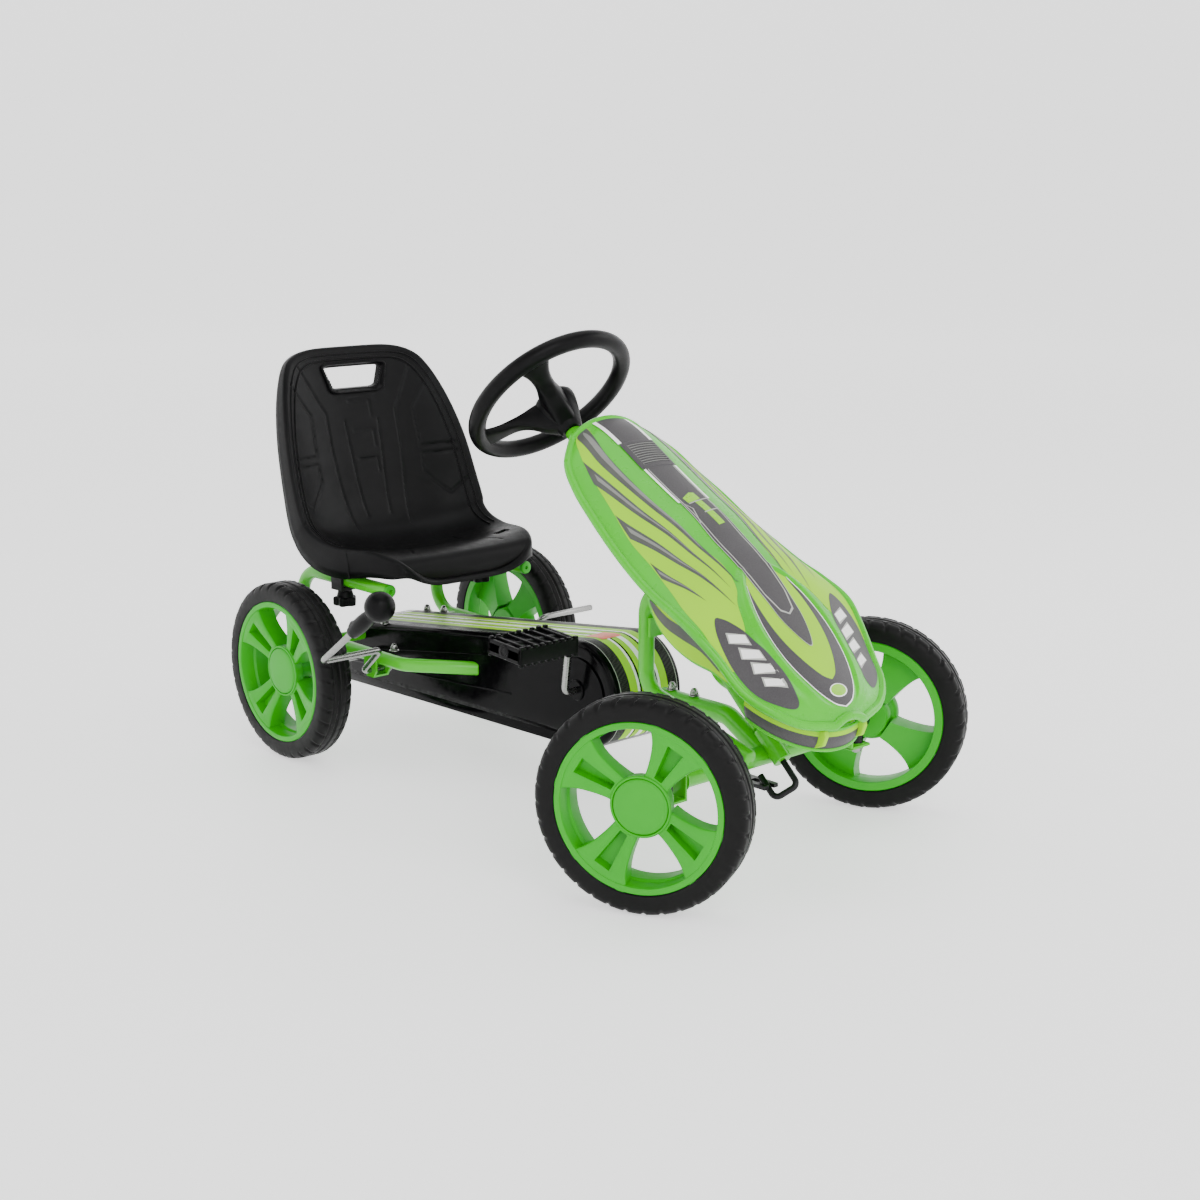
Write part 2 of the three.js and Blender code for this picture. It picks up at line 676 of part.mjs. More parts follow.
// ---------- fairing ----------
// Stations down the fairing: [y, ridge height, half width, edge height].
const FAIRING = [
  [-862, 207, 25, 199], [-850, 224, 70, 206], [-830, 246, 98, 222], [-800, 276, 117, 243],
  [-768, 305, 128, 279], [-740, 330, 136, 304], [-700, 363, 135, 324], [-665, 386, 131, 338],
  [-630, 410, 130, 356], [-585, 435, 122, 382], [-540, 461, 115, 413], [-500, 486, 105, 440],
  [-470, 502, 92, 466], [-444, 512, 60, 492],
];
const FAIRING_THICK = 4;
const FAIRING_FRONT_Y = -862;
const FAIRING_REAR_Y = -444;

function fairingPoint(across, along, drop) {
  const y = FAIRING_FRONT_Y + (FAIRING_REAR_Y - FAIRING_FRONT_Y) * along;
  const [ridge, halfWidth, edge] = blendRows(FAIRING, y);
  const s = 2 * across - 1;
  const height = edge + (ridge - edge) * (1 - Math.abs(s) ** 2.2);
  const pinch = drop === 0 ? 0 : 1.5 * s;
  return [s * halfWidth - pinch, y, height - drop];
}

function fairingShell() {
  const outer = (u, v) => fairingPoint(u, v, 0);
  const inner = (u, v) => fairingPoint(u, v, FAIRING_THICK);
  return shellSolid(8, 14, outer, inner);
}

const LIP_RADIUS_X = 97;
const LIP_RADIUS_Y = 84;
const LIP_CENTRE_Y = -772;
const LIP_TOP_Z = 240;
const LIP_HEIGHT = 25;

// A curved lower lip under the nose, set back from its edge.
function fairingLip() {
  const outer = (u, v) => lipPoint(u, v, 0);
  const inner = (u, v) => lipPoint(u, v, 3);
  return shellSolid(10, 1, outer, inner);
}

function lipPoint(across, up, inset) {
  const angle = Math.PI * (0.06 + 0.88 * across);
  const radiusX = LIP_RADIUS_X - inset;
  const radiusY = LIP_RADIUS_Y - inset;
  const x = -radiusX * Math.cos(angle);
  const y = LIP_CENTRE_Y - radiusY * Math.sin(angle);
  const top = LIP_TOP_Z - 46 * Math.sin(angle);
  const z = top - LIP_HEIGHT * (1 - up);
  return [x * (0.94 + 0.06 * up), y + 4 * (1 - up), z];
}

function sideWing(side) {
  const outline = [
    [-655, 326], [-664, 300], [-690, 278], [-726, 262], [-766, 254], [-790, 246],
    [-774, 262], [-742, 290], [-700, 311],
  ];
  const x = side * 122;
  return sidePlate(outline, x - 1.5, x + 1.5);
}

// ---------- chain guard ----------
function guardTopZ(y) {
  return 227 - 0.122 * (y - BARREL_Y);
}

function guardOutline(inset) {
  const rear = GUARD_REAR_Y - inset;
  const barrel = arc(BARREL_Y, BARREL_Z, BARREL_R - inset, 90, 270, 14);
  const topRear = guardTopZ(rear - 12) - inset;
  return [
    [rear, 72 + inset], [rear, topRear - 14], [rear - 5, topRear - 4], [rear - 14, topRear],
    ...barrel,
  ];
}

// The cover is a bent strip: rear end, top and barrel, open underneath.
function guardCover() {
  const outerRun = guardOutline(0).slice(0, 16);
  const innerRun = guardOutline(GUARD_WALL).slice(0, 16);
  const outline = outerRun.concat(innerRun.reverse());
  const half = GUARD_X - GUARD_WALL - GAP;
  const cover = sidePlate(outline, -half, half);
  const frontHole = cylinder(FRONT_TUBE_R + 3, 40, AXIS_Y, vec(0, BARREL_Y - BARREL_R, LADDER_Z));
  return cut(cover, frontHole);
}

function guardSide(side) {
  const xInner = side * (GUARD_X - GUARD_WALL);
  const xOuter = side * GUARD_X;
  const panel = sidePlate(guardOutline(0), Math.min(xInner, xOuter), Math.max(xInner, xOuter));
  const x = side * GUARD_X;
  const axleSlot = box([20, 20, 60], [x, 0, WHEEL_RADIUS - 20]);
  const axleHole = cylinder(10, 20, AXIS_X, vec(x, 0, WHEEL_RADIUS + 9));
  const crankHole = cylinder(8, 20, AXIS_X, vec(x, CRANK_Y, CRANK_Z));
  const brakeHole = cylinder(7.5, 20, AXIS_X, vec(x, ...BRAKE_PIVOT));
  const crossHole = cylinder(10, 20, AXIS_X, vec(x, LADDER_REAR_Y, RAIL_LOW_Z));
  const railEnd = railCorners(side)[4];
  const railStart = railCorners(side)[3];
  const railRun = railEnd.clone().sub(railStart);
  const railMiddle = railEnd.clone().addScaledVector(railRun.clone().normalize(), 4);
  const railHole = cylinder(RAIL_R + 1.5, 60, railRun, railMiddle);
  return cut(panel, join(axleSlot, axleHole), crankHole, brakeHole, crossHole, railHole);
}

// ---------- seat rails ----------
function railCorners(side) {
  const x = side * RAIL_X;
  return [
    vec(x, RAIL_FRONT_Y, RAIL_TOP_Z), vec(x, RAIL_BACK_Y, RAIL_TOP_Z), vec(x, RAIL_BACK_Y, RAIL_LOW_Z),
    vec(x, -158, RAIL_LOW_Z), vec(side * 57, -246, RAIL_LOW_Z),
  ];
}

function seatRail(side) {
  return bentTube(railCorners(side), RAIL_R, 40, { arcSteps: 5 });
}

function railCap(side) {
  const profile = [[0, 0], [RAIL_R, 0], [RAIL_R, 3], [8, 5], [0, 5]];
  return lathe(profile, AXIS_Y.clone().negate(), vec(side * RAIL_X, RAIL_FRONT_Y - GAP, RAIL_TOP_Z), 12);
}

// ---------- brake ----------
function brakeRod() {
  const [pivotY, pivotZ] = BRAKE_PIVOT;
  const [barY, barZ] = BRAKE_BAR;
  const corners = [
    vec(-BRAKE_LEVER_X, ...leverPoint(LEVER_LENGTH - 12)), vec(-BRAKE_LEVER_X, barY, barZ),
    vec(-BRAKE_LEG_X, barY, barZ), vec(-BRAKE_LEG_X, pivotY, pivotZ),
    vec(BRAKE_LEG_X, pivotY, pivotZ), vec(BRAKE_LEG_X, barY, barZ),
    vec(BRAKE_LEVER_X - 2, barY, barZ),
  ];
  return bentTube(corners, BRAKE_R, 10, { sides: 8, arcSteps: 3 });
}

const LEVER_LENGTH = 171;
const LEVER_DIRECTION = [-0.8118, 0.584];

function leverPoint(distance) {
  return [BRAKE_BAR[0] + LEVER_DIRECTION[0] * distance, BRAKE_BAR[1] + LEVER_DIRECTION[1] * distance];
}

// A tapered grip that swells into a ball at its end.
function brakeHandle() {
  const axis = vec(0, ...LEVER_DIRECTION);
  const start = LEVER_LENGTH - 78;
  const profile = [
    [0, 0], [9, 0], [11, 26], [8.5, 54], [16, 64], [20, 74],
    [20, 82], [15.5, 92], [8, 97.5], [0, 99],
  ];
  const grip = lathe(profile, axis, vec(-BRAKE_LEVER_X, ...leverPoint(start)), 12);
  const socket = cylinder(BRAKE_R + GAP, 140, axis, vec(-BRAKE_LEVER_X, ...leverPoint(start - 2)), 12);
  return cut(grip, socket);
}

// A saddle under the rail that carries the brake rod.
function brakeBracket(side) {
  const [pivotY, pivotZ] = BRAKE_PIVOT;
  const outline = [
    [pivotY - 14, RAIL_LOW_Z + 4], [pivotY - 14, pivotZ], [pivotY - 8, pivotZ - 10],
    [pivotY + 8, pivotZ - 10], [pivotY + 14, pivotZ], [pivotY + 14, RAIL_LOW_Z + 4],
  ];
  const x = side * RAIL_X;
  const block = sidePlate(outline, x - 13, x + 13);
  const hollow = box([19.8, 60, 60], [x, pivotY, pivotZ + 23]);
  const rodHole = cylinder(BRAKE_R + 0.4, 60, AXIS_X, vec(x, pivotY, pivotZ), 12);
  return cut(block, hollow, rodHole);
}

function brakeSpring() {
  return pipe(8, BRAKE_R + 0.5, 6, AXIS_X, vec(-RAIL_X + 17.5, ...BRAKE_PIVOT), 12);
}

// ---------- crank and pedals ----------
function addCrank() {
  const upY = CRANK_Y - CRANK_LEAN;
  const upZ = CRANK_Z + CRANK_THROW;
  const downY = CRANK_Y + CRANK_LEAN;
  const downZ = CRANK_Z - CRANK_THROW;
  const tip = PEDAL_X[1] + 6;
  const corners = [
    vec(-tip, upY, upZ), vec(-CRANK_ARM_X, upY, upZ), vec(-CRANK_ARM_X, CRANK_Y, CRANK_Z),
    vec(CRANK_ARM_X, CRANK_Y, CRANK_Z), vec(CRANK_ARM_X, downY, downZ), vec(tip, downY, downZ),
  ];
  add('crank', bentTube(corners, CRANK_ROD_R, 9, { sides: 8, arcSteps: 3 }), STEEL);
  const ring = sprocket(CHAINRING_TEETH, CHAINRING_TIP, CRANK_ROD_R + GAP);
  add('chainring', ring.translate(0, CRANK_Y, CRANK_Z), DARK_STEEL);
  add('pedal_right', pedal(-1).translate(0, upY, upZ), MATTE_BLACK);
  add('pedal_left', pedal(1).translate(0, downY, downZ), MATTE_BLACK);
  for (const [label, side] of SIDES) {
    const centre = vec(side * LADDER_X, CRANK_Y, CRANK_Z);
    add(`crank_bush_${label}`, pipe(CRANK_BUSH_R, CRANK_ROD_R + GAP, 25, AXIS_X, centre, 12), NYLON);
  }
}

function pedal(side) {
  const length = PEDAL_X[1] - PEDAL_X[0];
  const middle = (side * (PEDAL_X[0] + PEDAL_X[1])) / 2;
  const pieces = [box([length, 64, 20], [middle, 0, 0])];
  for (let i = 0; i < 4; i += 1) {
    const x = middle + (i - 1.5) * 24;
    for (const up of [-1, 1]) pieces.push(box([6, 56, 4], [x, 0, up * 11]));
  }
  return cut(join(...pieces), cylinder(CRANK_ROD_R + 0.3, 2 * length, AXIS_X, vec(middle, 0, 0), 14));
}

// ---------- seat ----------
// Stations from the front lip to the top of the back: [share, y, z, half width, side rise].
const SEAT = [
  [0, -150, 264, 118, 0], [0.05, -151, 284, 125, 0], [0.1, -140, 295, 131, 4], [0.17, -108, 296, 139, 9],
  [0.3, -45, 285, 148, 20], [0.42, 10, 284, 154, 34], [0.5, 48, 300, 158, 44], [0.58, 72, 340, 159, 46],
  [0.7, 92, 410, 155, 40], [0.82, 110, 480, 143, 30], [0.92, 124, 536, 130, 16], [0.97, 129, 555, 116, 8],
  [1, 131, 562, 100, 4],
];
const SEAT_SKIRT_X = 146;
const TOP_ROLL_SIZE = [190, 16, 8];
const TOP_ROLL_PLACE = [0, 137, 552];
const HANDLE_SIZE = [94, 80, 32];
const HANDLE_Z = 520;
const SEAT_THICK = 5;

// The sides of the bucket curl up from the pan and forward from the back.
function seatPoint(across, along, depth) {
  const [y, z, halfWidth, rise] = blendRows(SEAT, along);
  const ahead = blendRows(SEAT, Math.min(1, along + 0.02));
  const behind = blendRows(SEAT, Math.max(0, along - 0.02));
  const tilt = Math.atan2(ahead[1] - behind[1], ahead[0] - behind[0]);
  const s = 2 * across - 1;
  const curl = rise * Math.abs(s) ** 3;
  const off = curl - depth;
  const half = halfWidth + (depth === 0 ? 0 : 3);
  return [s * half, y - off * Math.sin(tilt), z + off * Math.cos(tilt)];
}

function seatShell() {
  const inner = (u, v) => seatPoint(u, v, 0);
  const outer = (u, v) => seatPoint(u, v, SEAT_THICK);
  const shell = shellSolid(10, 18, inner, outer);
  const skirts = SIDES.map(([, side]) => box([5, 130, 50], [side * SEAT_SKIRT_X, -25, 275]));
  const padHeight = 34;
  const padZ = RAIL_TOP_Z + RAIL_R + GAP + padHeight / 2;
  const pads = SIDES.map(([, side]) => box([24, 90, padHeight], [side * RAIL_X, -25, padZ]));
  const topRoll = box(TOP_ROLL_SIZE, TOP_ROLL_PLACE);
  const handle = box(HANDLE_SIZE, [0, 120, HANDLE_Z]);
  return cut(join(shell, topRoll, ...skirts, ...pads), handle);
}

const CLAMP_Y = -20;

function seatClamp(side) {
  const x = side * RAIL_X;
  const low = RAIL_TOP_Z - RAIL_R - GAP - 4;
  const plate = box([30, 26, 4], [x, CLAMP_Y, low + 2]);
  const cheeks = [-1, 1].map((way) => box([4, 26, 22], [x + way * 13, CLAMP_Y, low + 11]));
  return cut(join(plate, ...cheeks), cylinder(4, 40, AXIS_Z, vec(x, CLAMP_Y, low), 12));
}

// A star knob with five lobes on a short stud.
function starKnob(side) {
  const top = RAIL_TOP_Z - RAIL_R - GAP;
  const lobes = 5;
  const outline = [];
  const corners = lobes * 4;
  for (let i = 0; i < corners; i += 1) {
    const angle = (2 * Math.PI * i) / corners;
    const radius = 15 + 2.6 * Math.cos(lobes * angle);
    outline.push(new THREE.Vector2(radius * Math.cos(angle), radius * Math.sin(angle)));
  }
  const grip = new THREE.ExtrudeGeometry(new THREE.Shape(outline), { depth: 13, bevelEnabled: false });
  grip.translate(0, 0, top - 28);
  const neck = cone(10, 12, 9, AXIS_Z, vec(0, 0, top - 10.6), 14);
  const stud = cylinder(3.5, 9, AXIS_Z, vec(0, 0, top - 5), 12);
  return join(grip, neck, stud).translate(side * RAIL_X, CLAMP_Y, 0);
}

// ---------- assembly ----------
function addFrame() {
  add('main_frame', mainFrame(), FRAME_GREEN);
  add('front_axle_beam', frontAxleBeam(), FRAME_GREEN);
  add('frame_bolt_rear', frameBolt(FRAME_BOLTS_Y[0]), STEEL);
  add('frame_bolt_front', frameBolt(FRAME_BOLTS_Y[1]), STEEL);
  add('column_bracket', columnBracket(), FRAME_GREEN);
  for (const [label, side] of SIDES) {
    add(`support_tube_${label}`, supportTube(side), FRAME_GREEN);
    add(`seat_rail_${label}`, seatRail(side), FRAME_GREEN);
    add(`rail_cap_${label}`, railCap(side), FRAME_GREEN);
    const bush = pipe(9, AXLE_ROD_R + 0.3, 12, AXIS_X, vec(side * LADDER_X, 0, WHEEL_RADIUS));
    add(`axle_bush_${label}`, bush, NYLON);
  }
}

function addBodywork() {
  add('fairing_shell', fairingShell(), FRAME_GREEN);
  add('fairing_lip', fairingLip(), FRAME_GREEN);
  add('guard_cover', guardCover(), GLOSS_BLACK);
  for (const [label, side] of SIDES) {
    add(`side_wing_${label}`, sideWing(side), FRAME_GREEN);
    add(`guard_side_${label}`, guardSide(side), GLOSS_BLACK);
  }
  add('chain', chainGeometry(), DARK_STEEL);
}

function addBrake() {
  add('brake_rod', brakeRod(), STEEL);
  add('brake_handle', brakeHandle(), MATTE_BLACK);
  add('brake_spring', brakeSpring(), STEEL);
  for (const [label, side] of SIDES) add(`brake_bracket_${label}`, brakeBracket(side), FRAME_GREEN);
}

function addSeat() {
  add('seat_shell', seatShell(), MATTE_BLACK);
  for (const [label, side] of SIDES) {
    add(`seat_clamp_${label}`, seatClamp(side), DARK_STEEL);
    add(`star_knob_${label}`, starKnob(side), MATTE_BLACK);
  }
}

addFrame();
addBodywork();
addSteering();
add('tie_rod', tieRod(), DARK_STEEL);
for (const [label, side] of SIDES) addFrontCorner(label, side);
addRearWheels();
addCrank();
addBrake();
addSeat();

export default kart;
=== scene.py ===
"""The looks of a child's pedal go-kart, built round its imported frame.

Shapes are written in kart millimetres: x to the driver's left, y to the rear with the rear axle
at y = 0, z up. piece() turns them into the row frame in metres.
"""

import math

import bmesh
import bpy
from mathutils import Matrix, Vector


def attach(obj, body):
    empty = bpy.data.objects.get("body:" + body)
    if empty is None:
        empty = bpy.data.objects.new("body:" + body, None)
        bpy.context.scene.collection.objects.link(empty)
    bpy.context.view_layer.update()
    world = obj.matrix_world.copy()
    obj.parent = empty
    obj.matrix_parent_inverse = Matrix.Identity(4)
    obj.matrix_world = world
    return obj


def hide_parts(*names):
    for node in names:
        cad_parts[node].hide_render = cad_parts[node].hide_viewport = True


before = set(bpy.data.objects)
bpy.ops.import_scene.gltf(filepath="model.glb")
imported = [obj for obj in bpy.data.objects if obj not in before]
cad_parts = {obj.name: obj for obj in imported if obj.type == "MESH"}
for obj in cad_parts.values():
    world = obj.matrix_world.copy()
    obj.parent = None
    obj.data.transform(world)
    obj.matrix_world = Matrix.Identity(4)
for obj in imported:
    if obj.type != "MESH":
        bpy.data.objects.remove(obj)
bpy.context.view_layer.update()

# ---------- the kart's driving dimensions, in millimetres ----------
REAR_AXLE_Y = 373
WHEEL_R = 127
TYRE_WIDTH = 48.3
WHEELBASE = 732
REAR_FACE_X = 232.4
KINGPIN_X = 170
KINGPIN_TO_FACE = 98.9
STEER_ANGLE = math.radians(27.4)
WHEEL_TURN = math.radians(45)
STEER_R = 108.8
STEER_CENTRE = Vector((0, -331.9, 530.8))
COLUMN_RAKE = math.radians(43.39)
COLUMN_AXIS = Vector((0, math.cos(COLUMN_RAKE), math.sin(COLUMN_RAKE)))
LADDER_X = 38
LADDER_Z = 163
SUPPORT_X = 60
POST_Y = -583
CRANK_Y = -455
CRANK_Z = 163
CRANK_THROW = 75
CRANK_LEAN = 10
CRANK_ARM_X = 84
GUARD_X = 60
BARREL_Y = -455
BARREL_Z = 155
BARREL_R = 72
GUARD_REAR_Y = 76
RAIL_X = 123
RAIL_R = 9.5
RAIL_TOP_Z = 249.5
RAIL_LOW_Z = 149.5
BRAKE_PIVOT = (-95, 132)
BRAKE_BAR = (-140, 172)
LEVER_X = 246
LEVER_DIRECTION = (-0.8118, 0.584)
LEVER_LENGTH = 171
CLAMP_Y = -20
SIDES = (("right", -1), ("left", 1))
UP = (0, 0, 1)
ALONG_X = (1, 0, 0)
ORIGIN = (0, 0, 0)


# ---------- materials ----------
NOISE_LOW, NOISE_HIGH = 0.3, 0.7
COAT_ROUGHNESS = 0.12
BUMP_HEIGHT = 0.0004


def srgb(r, g, b):
    """Display values from 0 to 255 as the linear values a shader takes."""
    parts = [c / 255 for c in (r, g, b)]
    return tuple(c / 12.92 if c < 0.04045 else ((c + 0.055) / 1.055) ** 2.4 for c in parts)


def fill(node, **values):
    """Sets inputs of a shader node by name. An underscore stands for a space."""
    for key, value in values.items():
        node.inputs[key.replace("_", " ")].default_value = value
    return node


def noise_at(tree, coords, scale, detail=3.0):
    node = fill(tree.nodes.new("ShaderNodeTexNoise"), Scale=scale, Detail=detail)
    tree.links.new(coords, node.inputs["Vector"])
    return node.outputs["Fac"]


def ranged(tree, value, low, high):
    node = tree.nodes.new("ShaderNodeMapRange")
    fill(node, From_Min=NOISE_LOW, From_Max=NOISE_HIGH, To_Min=low, To_Max=high)
    tree.links.new(value, node.inputs["Value"])
    return node.outputs["Result"]


def two_tone(tree, value, dark, light):
    ramp = tree.nodes.new("ShaderNodeValToRGB")
    ends = ramp.color_ramp.elements
    ends[0].position, ends[1].position = NOISE_LOW, NOISE_HIGH
    ends[0].color, ends[1].color = (*dark, 1), (*light, 1)
    tree.links.new(value, ramp.inputs["Fac"])
    return ramp.outputs["Color"]


def object_coords(tree, **turn_or_stretch):
    place = tree.nodes.new("ShaderNodeTexCoord")
    mapping = fill(tree.nodes.new("ShaderNodeMapping"), **turn_or_stretch)
    tree.links.new(place.outputs["Object"], mapping.inputs["Vector"])
    return mapping.outputs["Vector"]


def finish(name, colour, rough, metal=0.0, coat=0.0, mottle=(14, 0.05), grain=(900, 0.1),
           spread=0.06, stretch=(1, 1, 1), specular=0.5):
    """A surface whose colour, gloss and relief all vary a little, as moulded and painted parts do."""
    material = bpy.data.materials.new(name)
    material.use_nodes = True
    tree = material.node_tree
    shader = tree.nodes["Principled BSDF"]
    fill(shader, Metallic=metal, Coat_Weight=coat, Coat_Roughness=COAT_ROUGHNESS, Specular_IOR_Level=specular)
    coords = object_coords(tree, Scale=stretch)
    base = srgb(*colour)
    scale, depth = mottle
    dark = tuple(c * (1 - depth) for c in base)
    light = tuple(min(1, c * (1 + depth)) for c in base)
    tone = two_tone(tree, noise_at(tree, coords, scale), dark, light)
    tree.links.new(tone, shader.inputs["Base Color"])
    gloss = ranged(tree, noise_at(tree, coords, scale * 5), rough - spread, rough + spread)
    tree.links.new(gloss, shader.inputs["Roughness"])
    bump = fill(tree.nodes.new("ShaderNodeBump"), Strength=grain[1], Distance=BUMP_HEIGHT)
    tree.links.new(noise_at(tree, coords, grain[0], 2.0), bump.inputs["Height"])
    tree.links.new(bump.outputs["Normal"], shader.inputs["Normal"])
    return material


def weave(name, dark, light, scale):
    """A printed fibre weave: two tones in a small diagonal check, under a clear film."""
    material = finish(name, dark, 0.42, specular=0.1)
    tree = material.node_tree
    coords = object_coords(tree, Rotation=(0.6, 0.5, math.radians(45)))
    check = tree.nodes.new("ShaderNodeTexChecker")
    fill(check, Scale=scale, Color1=(*srgb(*dark), 1), Color2=(*srgb(*light), 1))
    tree.links.new(coords, check.inputs["Vector"])
    tree.links.new(check.outputs["Color"], tree.nodes["Principled BSDF"].inputs["Base Color"])
    return material


MATERIALS = {
    "paint": finish("frame_paint", (66, 182, 14), 0.34, coat=0.2, grain=(500, 0.05), specular=0.35),
    "wheel": finish("wheel_plastic", (32, 156, 8), 0.42, grain=(1400, 0.12), spread=0.05, specular=0.3),
    "body": finish("fairing_green", (62, 186, 10), 0.3, coat=0.1, grain=(1200, 0.02), specular=0.28),
    "lime": finish("decal_lime", (154, 216, 0), 0.42, mottle=(9, 0.04), grain=(1200, 0.02), specular=0.1),
    "grey": finish("decal_grey", (70, 68, 70), 0.4, mottle=(700, 0.14), grain=(700, 0.04), specular=0.25),
    "streak": finish("decal_streak", (76, 78, 74), 0.36, mottle=(30, 0.2), grain=(400, 0.02), specular=0.25),
    "light_line": finish("decal_light_line", (172, 174, 168), 0.34, specular=0.25),
    # The pale core of the printed streaks, and also the painted highlights laid on the vent rib crests.
    "shine": finish("decal_shine", (124, 126, 121), 0.34, mottle=(30, 0.1), specular=0.25),
    "white": finish("decal_white", (252, 252, 250), 0.3, coat=0.1, mottle=(30, 0.01), specular=0.3),
    "red": finish("decal_red", (228, 84, 40), 0.34, mottle=(60, 0.25), specular=0.2),
    "badge": finish("decal_badge", (140, 212, 0), 0.3, coat=0.2, specular=0.3),
    "tyre": finish("tyre_black", (9, 9, 9), 0.44, mottle=(20, 0.2), grain=(700, 0.2), spread=0.08,
                   specular=0.14),
    "gloss": finish("guard_black", (4, 4, 5), 0.16, mottle=(20, 0.15), grain=(160, 0.03), specular=0.07),
    "matte": finish("black_plastic", (10, 10, 11), 0.38, mottle=(18, 0.12), grain=(2200, 0.25), specular=0.1),
    "grip": finish("grip_black", (8, 8, 9), 0.34, mottle=(18, 0.12), grain=(1600, 0.18), specular=0.1),
    "steel": finish("bright_zinc", (150, 150, 148), 0.26, metal=1.0, mottle=(60, 0.08),
                    grain=(900, 0.12), spread=0.08, stretch=(1, 1, 6)),
    "dark": finish("dark_steel", (20, 20, 22), 0.35, metal=0.3, mottle=(60, 0.2), grain=(900, 0.15),
                   specular=0.3),
    "nylon": finish("nylon", (214, 214, 206), 0.5, mottle=(40, 0.04), grain=(900, 0.1)),
    "weave": weave("fibre_weave", (10, 11, 10), (44, 48, 40), 420),
}


# ---------- shapes: a shape is (points, faces) in millimetres ----------
def merge(*shapes):
    points, faces = [], []
    for some_points, some_faces in shapes:
        start = len(points)
        points += [Vector(p) for p in some_points]
        faces += [[start + i for i in face] for face in some_faces]
    return points, faces


def moved(shape, matrix):
    return [matrix @ Vector(p) for p in shape[0]], shape[1]


def mirrored(shape):
    return [Vector((-p[0], p[1], p[2])) for p in shape[0]], shape[1]


def both(shape):
    return merge(shape, mirrored(shape))


def grid(columns, rows, point, wrap=False):
    """A sheet of quads: point(u, v) for u and v from 0 to 1. wrap joins its first and last columns."""
    count = columns if wrap else columns + 1
    points = [Vector(point(i / columns, j / rows)) for j in range(rows + 1) for i in range(count)]
    faces = []
    for j in range(rows):
        for i in range(columns):
            a, b = j * count + i, j * count + (i + 1) % count
            faces.append([a, b, b + count, a + count])
    return points, faces


def loft(loops, capped=True, closed=False):
    """Joins closed loops of equally many points, one after the other."""
    size = len(loops[0])
    points = [Vector(p) for loop in loops for p in loop]
    faces = []
    for k in range(len(loops) if closed else len(loops) - 1):
        here, there = k * size, ((k + 1) % len(loops)) * size
        for i in range(size):
            j = (i + 1) % size
            faces.append([here + i, here + j, there + j, there + i])
    if capped and not closed:
        faces.append(list(range(size))[::-1])
        faces.append([(len(loops) - 1) * size + i for i in range(size)])
    return points, faces


def turns(count):
    """Angles evenly spaced round a full turn."""
    return [2 * math.pi * i / count for i in range(count)]


def ring(centre, across, other, radius, sides):
    return [centre + (across * math.cos(t) + other * math.sin(t)) * radius for t in turns(sides)]


def turned(profile, axis, centre, segments=48):
    """Spins [radius, distance] pairs about an axis. The profile closes on itself or ends on the axis."""
    axis, centre = Vector(axis).normalized(), Vector(centre)
    closed = profile[0] == profile[-1]
    across = axis.orthogonal().normalized()
    other = axis.cross(across).normalized()
    rings = profile[:-1] if closed else profile
    loops = [ring(centre + axis * h, across, other, max(r, 0.01), segments) for r, h in rings]
    return loft(loops, capped=not closed, closed=closed)


def rounded(corners, bend, steps):
    """The polyline through the corners with each inner corner turned into an arc."""
    corners = [Vector(c) for c in corners]
    path = [corners[0]]
    for before, corner, after in zip(corners, corners[1:], corners[2:]):
        back, ahead = (before - corner).normalized(), (after - corner).normalized()
        half = back.angle(ahead) / 2
        start = corner + back * (bend / math.tan(half))
        centre = corner + (back + ahead).normalized() * (bend / math.sin(half))
        spoke = start - centre
        normal = spoke.cross(corner - centre).normalized()
        sweep = math.pi - 2 * half
        for i in range(steps + 1):
            path.append(centre + Matrix.Rotation(sweep * i / steps, 3, normal) @ spoke)
    return path + [corners[-1]]


def tube_along(path, radius, sides=24, soften=1.0, closed=False):
    """A round rod along a path, with its two ends softened."""
    axes = []
    for i in range(len(path)):
        before = path[i - 1] if (i or closed) else path[0]
        after = path[(i + 1) % len(path)] if (i < len(path) - 1 or closed) else path[-1]
        axes.append((after - before).normalized())
    across = axes[0].orthogonal().normalized()
    loops = []
    for centre, axis in zip(path, axes):
        across = (across - axis * across.dot(axis)).normalized()
        loops.append(ring(centre, across, axis.cross(across), radius, sides))
    if closed:
        return loft(loops, closed=True)

    def shrunk(loop, centre):
        return [centre + (p - centre) * (1 - soften / radius) for p in loop]

    first, last = shrunk(loops[0], path[0]), shrunk(loops[-1], path[-1])
    loops[0] = [p + axes[0] * soften for p in loops[0]]
    loops[-1] = [p - axes[-1] * soften for p in loops[-1]]
    return loft([first, *loops, last])


def tube(corners, radius, bend=0, sides=24, steps=10, soften=1.0):
    path = rounded(corners, bend, steps) if bend else [Vector(c) for c in corners]
    return tube_along(path, radius, sides, soften)


def softened(shape, width, segments=3, angle=30):
    """Rounds every edge sharper than the angle."""
    mesh = bmesh.new()
    verts = [mesh.verts.new(p) for p in shape[0]]
    for face in shape[1]:
        mesh.faces.new([verts[i] for i in face])
    bmesh.ops.recalc_face_normals(mesh, faces=mesh.faces)
    sharp = [e for e in mesh.edges if len(e.link_faces) == 2 and e.calc_face_angle(0) > math.radians(angle)]
    bmesh.ops.bevel(mesh, geom=sharp, offset=width, segments=segments, profile=0.5, affect="EDGES",
                    clamp_overlap=True)
    mesh.verts.index_update()
    made = ([v.co.copy() for v in mesh.verts], [[v.index for v in f.verts] for f in mesh.faces])
    mesh.free()
    return made


def side_prism(outline, x_low, x_high):
    """A prism from an outline of (y, z) pairs, between two x values."""
    return loft([[(x, y, z) for y, z in outline] for x in (x_low, x_high)])


def block(size, centre):
    x, y, z = (s / 2 for s in size)
    shape = side_prism([(-y, -z), (y, -z), (y, z), (-y, z)], -x, x)
    return moved(shape, Matrix.Translation(centre))


def put(name, data):
    made = bpy.data.objects.new(name, data)
    bpy.context.scene.collection.objects.link(made)
    return made


